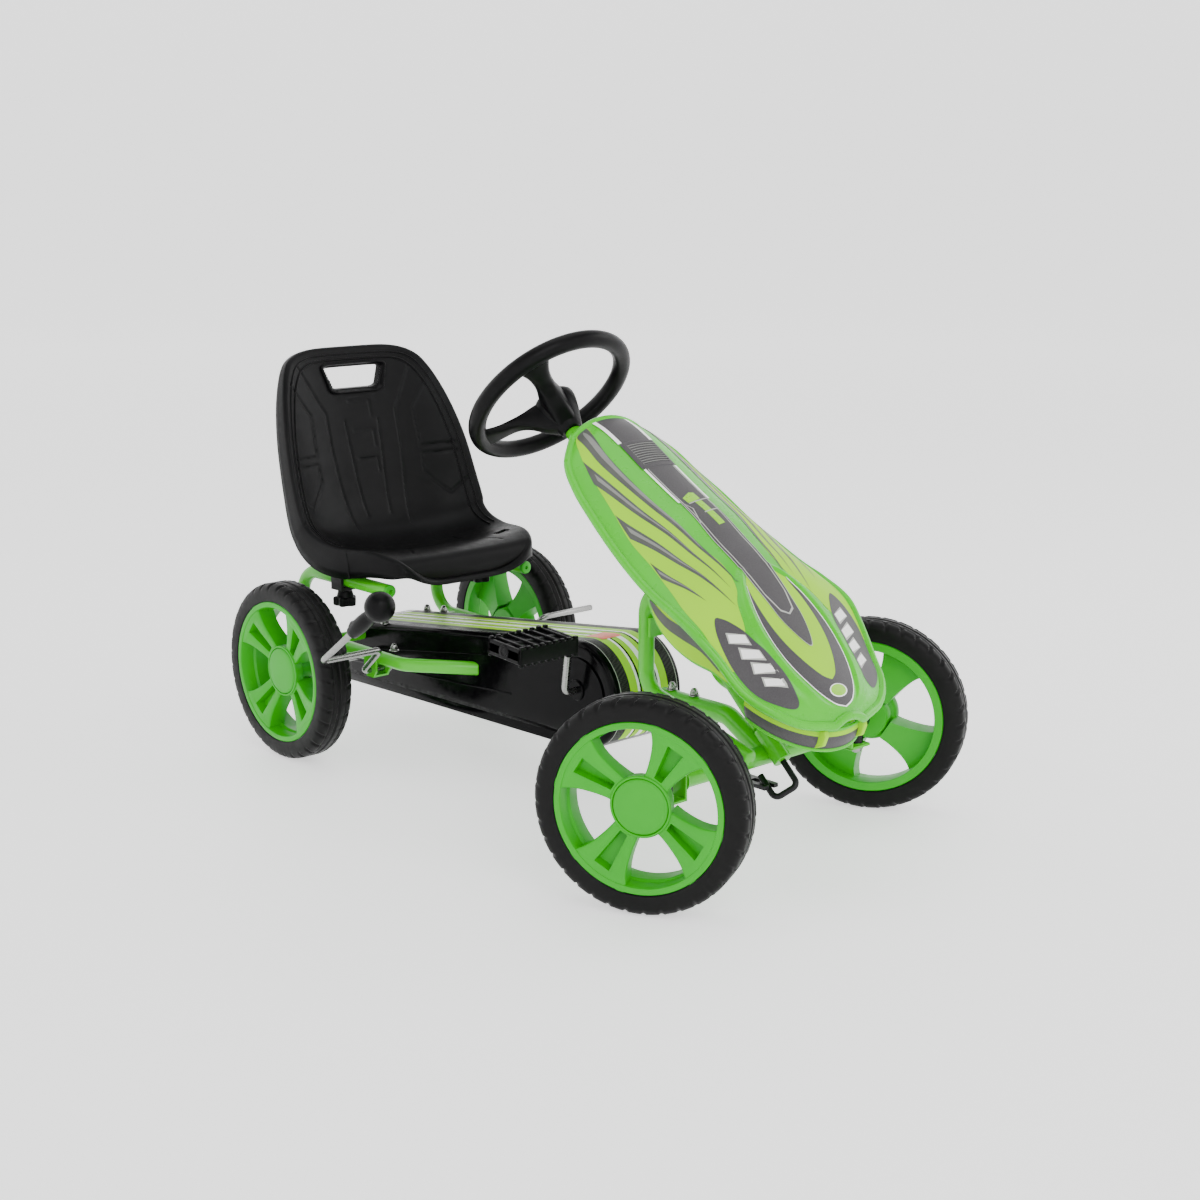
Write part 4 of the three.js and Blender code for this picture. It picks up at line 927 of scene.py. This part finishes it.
def build_front_axle():
    y = -WHEELBASE
    parts = [tube([(-146, y, WHEEL_R), (146, y, WHEEL_R)], 12, sides=40)]
    for _, side in SIDES:
        for up in (-1, 1):
            z = WHEEL_R + up * 21.5
            parts.append(softened(block((37, 26, 4), (side * 164.5, y, z)), 1.4))
            eye = [(4.6, -2.6), (10, -2.6), (10.6, -2), (10.6, 2), (10, 2.6), (4.6, 2.6), (4.6, -2.6)]
            parts.append(turned(eye, UP, (side * KINGPIN_X, y, z), 32))
        parts.append(softened(block((4, 26, 47), (side * 148, y, WHEEL_R)), 1.4))
        weld = [(12, 0), (15, 0.4), (14.6, 2.6), (12, 4), (12, 0)]
        parts.append(turned(weld, (-side, 0, 0), (side * 146, y, WHEEL_R), 40))
    sleeve = rounded([(0, -552, LADDER_Z), (0, -668, LADDER_Z), (0, y + 6, WHEEL_R + 3)], 30, 10)
    parts.append(tube_along(sleeve, 12.5, 40, 1.2))
    foot, head = STEER_CENTRE - COLUMN_AXIS * 590, STEER_CENTRE - COLUMN_AXIS * 542
    parts.append(tube([foot, head], 12, sides=40))
    piece("front_axle_fine", merge(*parts), "paint", "frame", ["front_axle_beam"], 40)


def hexagon(radius, low, high, x, y):
    loops = [[(x + radius * math.cos(a), y + radius * math.sin(a), z)
              for a in (math.pi / 3 * i for i in range(6))] for z in (low, high)]
    return softened(loft(loops), 0.5, 2)


def acorn(x, y, z):
    """A domed nut on its washer."""
    nut = hexagon(5.6, z, z + 4.6, x, y)
    dome = turned([(0, 9.4), (2.6, 8.6), (3.9, 7), (4.4, 5.2), (4.4, 4), (0, 4)], UP, (x, y, z), 28)
    washer = turned([(0, -0.1), (7, -0.1), (7.2, 0.5), (7, 1), (0, 1)], UP, (x, y, z - 1), 32)
    return merge(nut, dome, washer)


def build_bolts():
    for name, y in (("rear", -568), ("front", -608)):
        top = acorn(0, y, LADDER_Z + 13.6)
        head = hexagon(5.6, LADDER_Z - 18, LADDER_Z - 12.8, 0, y)
        shank = turned([(0, -13), (3, -13), (3, 13.5), (0, 13.5)], UP, (0, y, LADDER_Z), 20)
        fine(f"frame_bolt_{name}", merge(top, head, shank), "steel")
    for label, side in SIDES:
        x, y = side * KINGPIN_X, -WHEELBASE
        low, top = WHEEL_R - 23.8, WHEEL_R + 23.8
        shank = turned([(0, low), (3.9, low), (3.9, top), (0, top)], UP, (x, y, 0), 24)
        nut = hexagon(7.2, low - 7, low - 0.2, x, y)
        tip = [(0, low - 9), (2.8, low - 9), (3.6, low - 8), (3.6, low - 6), (0, low - 6)]
        tip = turned(tip, UP, (x, y, 0), 20)
        dome = [(0, top + 5), (3.5, top + 4.7), (6, top + 3.4), (7, top + 1.4), (7, top + 0.1),
                (0, top + 0.1)]
        dome = turned(dome, UP, (x, y, 0), 32)
        fine(f"kingpin_bolt_{label}", merge(shank, nut, tip, dome), "steel")
    heads = []
    for _, side in SIDES:
        for y in (-20, 22):
            heads.append(acorn(side * 54, y, guard_top(y) + 0.5))
        heads.append(acorn(side * (RAIL_X - 17), BRAKE_PIVOT[0] - 18, RAIL_LOW_Z + 10))
    piece("guard_screws", merge(*heads), "steel")


# ---------- steering ----------
def steering_matrix():
    down = Vector((0, math.sin(COLUMN_RAKE), -math.cos(COLUMN_RAKE)))
    basis = Matrix((Vector(ALONG_X), down, COLUMN_AXIS)).transposed().to_4x4()
    return Matrix.Translation(STEER_CENTRE) @ Matrix.Rotation(WHEEL_TURN, 4, COLUMN_AXIS) @ basis


def steering_spoke():
    rows = [[14, 20, -6, -56], [30, 18, -6, -43], [45, 15, -6, -27], [60, 14.5, -5.5, -18],
            [78, 17, -4.5, -14], [92, 22, -3, -11], [106, 28, -1, -8]]
    loops = []
    for i in range(24):
        r = 14 + 92 * i / 23
        half, top, low = between(rows, r)
        middle, tall = (top + low) / 2, (top - low) / 2
        loop = []
        for a in turns(24):
            c, s = math.cos(a), math.sin(a)
            x = math.copysign(abs(c) ** 0.45, c) * half
            z = math.copysign(abs(s) ** 0.45, s) * tall
            draft = 1 - 0.35 * (0.5 - z / tall / 2)
            loop.append((r, x * draft, middle + z))
        loops.append(loop)
    return loft(loops)


def build_steering():
    place = steering_matrix()
    circle = [Vector((STEER_R * math.cos(t), STEER_R * math.sin(t), 0)) for t in turns(120)]
    rim = tube_along(circle, 11.7, 28, closed=True)
    hub = turned([(0, -7), (25, -7), (27.6, -8.5), (28.6, -12), (28.4, -18), (26.4, -27), (23.6, -37),
                  (19.5, -48), (15.5, -60), (14, -62), (0, -62)], UP, ORIGIN, 64)
    spokes = [moved(steering_spoke(), Matrix.Rotation(math.radians(a), 4, "Z")) for a in (0, 90, 180)]
    fine("steering_wheel", moved(merge(rim, hub, *spokes), place), "grip", "steering", 50)
    cap = turned([(0, -3.2), (14, -3.6), (22, -4.6), (25.6, -6), (26.6, -7.6), (0, -7.6)], UP, ORIGIN, 64)
    piece("steering_cap_fine", moved(cap, place), "gloss", "steering", ["steering_wheel_cap"])
    column = tube([(0, 0, -62.5), (0, 0, -539)], 11, sides=40)
    fine("steering_column", moved(column, place), "paint", "steering", 60)
    shaft = tube([(0, 0, -500), (0, 0, -625), (0, 32.5, -625), (0, 32.5, -590)], 4, 8, 20, 8, 0.6)
    fine("steering_shaft", moved(shaft, place), "dark", "steering", 60)


# ---------- brake ----------
def lever_point(distance):
    return (BRAKE_BAR[0] + LEVER_DIRECTION[0] * distance, BRAKE_BAR[1] + LEVER_DIRECTION[1] * distance)


def build_brake():
    corners = [
        (-LEVER_X, *lever_point(LEVER_LENGTH - 60)), (-LEVER_X, *BRAKE_BAR), (-148, *BRAKE_BAR),
        (-148, *BRAKE_PIVOT), (148, *BRAKE_PIVOT), (148, *BRAKE_BAR), (LEVER_X - 2, *BRAKE_BAR),
    ]
    fine("brake_rod", tube(corners, 4.5, 10, 24, 8), "steel", "brake", 60)
    axis = Vector((0, *LEVER_DIRECTION))
    start = Vector((-LEVER_X, *lever_point(LEVER_LENGTH - 78)))
    grip = [(0, 0), (8, 0), (9, 0.8), (9.6, 6), (10.6, 16), (11, 28), (10.4, 40), (9, 50), (8.6, 54),
            (9.6, 58)]
    ball_centre, ball_r = 78, 20.5
    for i in range(22):
        a = math.radians(150 - 150 * i / 21)
        grip.append((ball_r * math.sin(a), ball_centre + ball_r * math.cos(a)))
    fine("brake_handle", turned(grip, axis, start, 56), "grip", "brake", 60)
    y, z = BRAKE_PIVOT
    coil = []
    for i in range(140):
        t = 2 * math.pi * i / 28
        coil.append(Vector((-RAIL_X + 14.8 + 5.4 * i / 139, y + 6.9 * math.cos(t), z + 6.9 * math.sin(t))))
    tail = [coil[-1] + Vector((0, 8, 9)), coil[-1] + Vector((0, 14, 16))]
    fine("brake_spring", tube_along(coil + tail, 0.9, 10, 0.3), "steel", sharp=60)


# ---------- crank and pedals ----------
def pedal_shape(side):
    middle = side * 144
    body = softened(block((96, 60, 15), (middle, 0, 0)), 2.2)
    walls = [softened(block((96, 5, 20), (middle, way * 29.5, 0)), 1.2) for way in (-1, 1)]
    ends = [softened(block((5, 64, 20), (middle + way * 45.5, 0, 0)), 1.2) for way in (-1, 1)]
    boss = [(4.8, -49), (9, -49), (9.6, -48), (9.6, 48), (9, 49), (4.8, 49), (4.8, -49)]
    boss = turned(boss, ALONG_X, (middle, 0, 0), 32)
    plug = [(0, 46), (9, 46), (9, 49), (5, 49.4), (4, 48.6), (0, 48.6)]
    plug = turned(plug, (side, 0, 0), (middle, 0, 0), 32)
    studs = []
    for up in (-1, 1):
        for i in range(9):
            for way in (-1, 1):
                at = (middle + (i - 4) * 11, way * 29.5, up * 11)
                studs.append(softened(block((6, 5, 4), at), 0.8, 2))
        for i in range(5):
            rib = block((3.4, 54, 5), (middle + (i - 2) * 18, 0, up * 9))
            studs.append(softened(rib, 0.8, 2))
    return merge(body, boss, plug, *walls, *ends, *studs)


def build_crank():
    up_y, up_z = CRANK_Y - CRANK_LEAN, CRANK_Z + CRANK_THROW
    down_y, down_z = CRANK_Y + CRANK_LEAN, CRANK_Z - CRANK_THROW
    a = CRANK_ARM_X
    corners = [(-189, up_y, up_z), (-a, up_y, up_z), (-a, CRANK_Y, CRANK_Z), (a, CRANK_Y, CRANK_Z),
               (a, down_y, down_z), (189, down_y, down_z)]
    fine("crank", tube(corners, 4.5, 9, 24, 8), "steel", "crank", 60)
    for label, side, y, z in (("right", -1, up_y, up_z), ("left", 1, down_y, down_z)):
        tilt = Matrix.Translation((0, y, z)) @ Matrix.Rotation(math.radians(4), 4, "X")
        fine(f"pedal_{label}", moved(pedal_shape(side), tilt), "matte", f"pedal_{label}")


# ---------- seat ----------
# Stations from the front lip to the top of the back: share, y, z, half width, side rise.
SEAT = [
    [0, -150, 260, 116, 0], [0.025, -153, 274, 122, 0], [0.055, -150, 287, 126, 0],
    [0.09, -140, 294.5, 131, 3], [0.16, -110, 297, 139, 9], [0.3, -45, 285, 149, 20],
    [0.42, 10, 284, 155, 34], [0.5, 48, 300, 159, 44],
    [0.58, 72, 340, 160, 46], [0.7, 92, 410, 156, 40], [0.82, 110, 480, 145, 30], [0.92, 124, 536, 132, 18],
    [1, 130, 561, 124, 6],
]
# Engraved lines, as runs of (side share, length share) points on the right half, and on both halves.
SEAT_LINES_BOTH = [
    [(0.78, 0.93), (0.42, 0.80), (0.38, 0.66), (0.3, 0.5)],
    [(0.9, 0.88), (0.62, 0.8), (0.6, 0.70), (0.93, 0.695)],
    [(0.93, 0.675), (0.6, 0.68), (0.58, 0.635), (0.78, 0.565), (0.95, 0.6)],
    [(0.2, 0.78), (0.16, 0.64), (0.13, 0.54)],
    [(0.5, 0.36), (0.42, 0.2), (0.6, 0.12)],
]
SEAT_LINES_MID = [
    [(-0.13, 0.83), (0.13, 0.83), (0.13, 0.79)],
    [(-0.11, 0.755), (0.12, 0.755), (0.12, 0.715)],
    [(-0.1, 0.685), (0.11, 0.685), (0.11, 0.65)],
    [(-0.2, 0.3), (0, 0.27), (0.2, 0.3)],
]
ENGRAVED_DEPTH, ENGRAVED_WIDTH = 1.5, 1.3
HANDLE_LOW, HANDLE_TOP = 504, 537
HANDLE_NARROW, HANDLE_WIDE = 40, 53


def lean_at(along, reach):
    """The slope of the seat's middle line in the side view."""
    ahead, behind = between(SEAT, min(1, along + reach)), between(SEAT, max(0, along - reach))
    return math.atan2(ahead[1] - behind[1], ahead[0] - behind[0])


def seat_base(s, along):
    y, z, half, rise = between(SEAT, along)
    tilt = lean_at(along, 0.01)
    curl = rise * abs(s) ** 3
    return Vector((s * half, y - curl * math.sin(tilt), z + curl * math.cos(tilt)))


def on_seat(s, along):
    """Shares of the seat as rough flat millimetres."""
    return Vector((s * 140, along * 480))


def distance_to_run(s, along, run):
    here = on_seat(s, along)
    best = 1e9
    for start, end in zip(run, run[1:]):
        p = on_seat(*start)
        d = on_seat(*end) - p
        t = min(1, max(0, (here - p).dot(d) / d.length_squared))
        best = min(best, (here - p - d * t).length)
    return best


def engraving(s, along):
    both_sides = min(distance_to_run(abs(s), along, run) for run in SEAT_LINES_BOTH)
    nearest = min(both_sides, *(distance_to_run(s, along, run) for run in SEAT_LINES_MID))
    return ENGRAVED_DEPTH * math.exp(-((nearest / ENGRAVED_WIDTH) ** 2))


def seat_surface(a, b, power=5):
    """The square -1..1 drawn in to a round-cornered outline and laid on the seat's surface."""
    reach = (abs(a) ** power + abs(b) ** power) ** (1 / power)
    k = max(abs(a), abs(b)) / reach if reach else 1
    s, along = a * k, (b * k + 1) / 2
    e = 0.004
    p = seat_base(s, along)
    ds = seat_base(min(1, s + e), along) - seat_base(max(-1, s - e), along)
    da = seat_base(s, min(1, along + e)) - seat_base(s, max(0, along - e))
    normal = ds.cross(da).normalized()
    return p - normal * engraving(s, along), normal, s, along


PAN_END = 0.25


def skirt_direction(along):
    """The way the edge turns: down round the pan, back round the seat back."""
    tilt = lean_at(along, 0.03) if along > PAN_END else 0
    return Vector((0, math.sin(tilt), -math.cos(tilt)))


def in_handle(p):
    share = (p.z - HANDLE_LOW) / (HANDLE_TOP - HANDLE_LOW)
    return 0 < share < 1 and p.y > 60 and abs(p.x) < HANDLE_NARROW + (HANDLE_WIDE - HANDLE_NARROW) * share


def in_belt_slot(s, along):
    return abs(abs(s) - 0.76) < 0.085 and abs(along - 0.2) < 0.017


def seat_shape(columns=160, rows=280):
    """The dish with its openings, and an edge that bends round and runs down or back."""
    points, shares = [], []
    for j in range(rows + 1):
        for i in range(columns + 1):
            p, _, s, along = seat_surface(2 * i / columns - 1, 2 * j / rows - 1)
            points.append(p)
            shares.append((s, along))
    wide = columns + 1
    faces = []
    for j in range(rows):
        for i in range(columns):
            k = j * wide + i
            centre = (points[k] + points[k + wide + 1]) / 2
            if not in_belt_slot(*shares[k]) and not in_handle(centre):
                faces.append([k, k + 1, k + wide + 1, k + wide])
    loop = list(range(wide)) + [j * wide + columns for j in range(1, rows + 1)]
    loop += [rows * wide + i for i in range(columns - 1, -1, -1)] + [j * wide for j in range(rows - 1, 0, -1)]
    count = len(loop)
    bend = 6.0
    falls = [(18, 0), (36, 0), (54, 0), (72, 0), (90, 0), (90, 0.35), (90, 0.7), (90, 1)]
    start, previous = len(points), loop
    for r, (degrees, fall) in enumerate(falls):
        angle = math.radians(degrees)
        for n, index in enumerate(loop):
            along = shares[index][1]
            tangent = (points[loop[(n + 5) % count]] - points[loop[(n - 5) % count]]).normalized()
            way = skirt_direction(along)
            outward = way.cross(tangent).normalized()
            deep = bend * (1 - math.cos(angle)) + between(SEAT_SKIRT, along)[0] * fall
            points.append(points[index] + outward * bend * math.sin(angle) + way * deep)
        current = [start + r * count + n for n in range(count)]
        for n in range(count):
            m = (n + 1) % count
            faces.append([previous[n], previous[m], current[m], current[n]])
        previous = current
    return points, faces


def seat_piping():
    """Two raised beads up one side of the back, over its top and down the other side."""
    runs = []
    low, corner, far_corner = 0.35, 0.42, 0.58
    for reach, radius in ((0.9, 1.7), (0.955, 1.3)):
        path = []
        for i in range(241):
            share = i / 240
            if share < corner:
                a, b = -reach, -low + (low + reach) * share / corner
            elif share < far_corner:
                a, b = reach * (2 * (share - corner) / 0.16 - 1), reach
            else:
                a, b = reach, reach - (low + reach) * (share - far_corner) / corner
            point, normal, _, _ = seat_surface(a, b)
            path.append(point + normal * 0.2)
        runs.append(tube_along(path, radius, 10, 0.5))
    return merge(*runs)


# How far the edge turns down or back: share, depth.
SEAT_SKIRT = [[0, 2], [0.05, 10], [0.1, 24], [0.2, 34], [0.32, 40], [0.42, 42], [0.52, 34], [0.62, 26],
              [0.8, 20], [0.93, 10], [1, 5]]


def handle_frame():
    """The deep bevelled surround of the slot in the back."""
    middle = (HANDLE_LOW + HANDLE_TOP) / 2
    tilt = math.atan2(14, 56)
    loops = []
    for grow, depth in ((7, -2), (7, 0.6), (5.6, 2), (4.4, 1.8), (0.6, -5), (0, -8), (0, -17), (7, -17)):
        ring = []
        for x, z in rounded_box(1, 1, 0.3):
            high = z * ((HANDLE_TOP - HANDLE_LOW) / 2 + grow)
            across = x * (HANDLE_NARROW + (HANDLE_WIDE - HANDLE_NARROW) * (z + 1) / 2 + grow)
            y = between(SEAT, 0.877)[0] - 2 + high * math.sin(tilt) - depth * math.cos(tilt)
            ring.append((across, y, middle + high * math.cos(tilt)))
        loops.append(ring)
    return loft(loops, closed=True)


def rounded_box(half_x, half_z, radius, steps=6):
    run = []
    for quarter, (sx, sz) in enumerate(((1, 1), (-1, 1), (-1, -1), (1, -1))):
        for i in range(steps + 1):
            a = math.pi / 2 * (quarter + i / steps)
            x, z = sx * (half_x - radius), sz * (half_z - radius)
            run.append((x + radius * math.cos(a), z + radius * math.sin(a)))
    return run


KNOB_LOBES = 5


def build_seat():
    thicken(piece("seat_body", seat_shape(), "matte", "seat", ["seat_shell"], 50), 0.003)
    piece("seat_handle_frame", handle_frame(), "matte", "seat", sharp=40)
    piece("seat_piping", seat_piping(), "matte", "seat", sharp=60)
    pads = [softened(block((24, 90, 20), (side * RAIL_X, -25, 270)), 2) for _, side in SIDES]
    piece("seat_pads", merge(*pads), "matte", "seat")
    for label, side in SIDES:
        x, top = side * RAIL_X, RAIL_TOP_Z - RAIL_R
        outline = []
        for t in turns(80):
            r = 15 + 2.6 * math.cos(KNOB_LOBES * t)
            outline.append((r * math.cos(t), r * math.sin(t)))
        scales = [(0.86, 0), (0.96, 0.8), (1, 2.4), (1, 10.6), (0.96, 12.2), (0.86, 13)]
        low = top - 28.3
        body = loft([[(x + px * k, CLAMP_Y + py * k, low + h) for px, py in outline] for k, h in scales])
        neck = [(0, 0), (12.4, 0), (12, 2), (10.4, 8), (9.8, 9), (0, 9)]
        neck = turned(neck, UP, (x, CLAMP_Y, top - 15.4), 32)
        stud = turned([(0, 0), (3.5, 0), (3.5, 9), (0, 9)], UP, (x, CLAMP_Y, top - 9.5), 20)
        fine(f"star_knob_{label}", merge(body, neck, stud), "matte", f"star_knob_{label}", 50)


# ---------- CAD nodes that stay ----------
def dress_cad_nodes():
    kept = {
        "paint": ("column_bracket", "brake_bracket_right", "brake_bracket_left"),
        "nylon": ("axle_bush_right", "axle_bush_left", "crank_bush_right", "crank_bush_left"),
        "dark": ("chain", "rear_sprocket", "chainring", "knuckle_right", "knuckle_left", "tie_rod",
                 "seat_clamp_right", "seat_clamp_left"),
        "steel": ("rear_axle",),
    }
    for material, names in kept.items():
        for name in names:
            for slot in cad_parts[name].material_slots:
                slot.material = MATERIALS[material]


# ---------- studio ----------
def floor_material():
    material = finish("floor_white", (222, 222, 222), 0.5, mottle=(2, 0.004), grain=(40, 0.0), spread=0.02,
                      specular=0.2)
    shader = material.node_tree.nodes["Principled BSDF"]
    fill(shader, Emission_Color=(1, 1, 1, 1), Emission_Strength=FLOOR_GLOW)
    return material


def aimed(name, data, place, aim):
    made = put(name, data)
    made.location = place
    made.rotation_mode = "QUATERNION"
    made.rotation_quaternion = (Vector(aim) - Vector(place)).to_track_quat("-Z", "Y")
    return made


def area_light(name, place, aim, size, power):
    data = bpy.data.lights.new(name, "AREA")
    data.shape = "RECTANGLE"
    data.size, data.size_y = size
    data.energy = power
    aimed(name, data, place, aim)


# The studio, in metres and watts.
FLOOR_GLOW = 0.95
WORLD_GLOW = 0.5
STUDIO_R = 7.0
WALL_BEND = 3
WALL_TOP = 9
CAMERA_AT = (-1.6199, -1.8515, 0.8167)
CAMERA_AIM = (0, -0.0577, 0.2693)
LENS_MM = 56.38
SENSOR_MM = 36


def studio_point(profile, u, v):
    """A white bowl: a flat round floor that curves up into its wall."""
    r, z = profile[round(v * (len(profile) - 1))]
    return (r * math.cos(2 * math.pi * u), r * math.sin(2 * math.pi * u), z)


def build_studio():
    profile = [(r, 0) for r in (0.01, 1, 2, 4, STUDIO_R)]
    for a in (math.pi / 2 * i / 16 for i in range(1, 17)):
        profile.append((STUDIO_R + WALL_BEND * math.sin(a), WALL_BEND - WALL_BEND * math.cos(a)))
    profile.append((STUDIO_R + WALL_BEND, WALL_TOP))
    points, faces = grid(72, len(profile) - 1, lambda u, v: studio_point(profile, u, v), wrap=True)
    faces.append(list(range(72)))
    mesh = bpy.data.meshes.new("floor")
    mesh.from_pydata(points, [], faces)
    mesh.shade_smooth()
    floor = put("floor", mesh)
    floor.location.z = -0.0005
    mesh.materials.append(floor_material())
    world = bpy.data.worlds.new("studio")
    bpy.context.scene.world = world
    world.use_nodes = True
    fill(world.node_tree.nodes["Background"], Color=(1, 1, 1, 1), Strength=WORLD_GLOW)
    area_light("key", (-1.2, -2.6, 2.6), (0, 0, 0.2), (1.6, 1.6), 38)
    area_light("top", (0.3, 0.2, 3.0), (0, 0, 0.1), (2.4, 2.4), 30)
    area_light("side", (2.8, -1.2, 1.6), (0, 0, 0.2), (1.2, 1.6), 16)
    data = bpy.data.cameras.new("camera")
    data.lens = LENS_MM
    data.sensor_width = SENSOR_MM
    bpy.context.scene.camera = aimed("camera", data, CAMERA_AT, CAMERA_AIM)


build_wheels()
build_fairing()
build_guard()
build_frame_tubes()
build_front_axle()
build_bolts()
build_steering()
build_brake()
build_crank()
build_seat()
dress_cad_nodes()
build_studio()
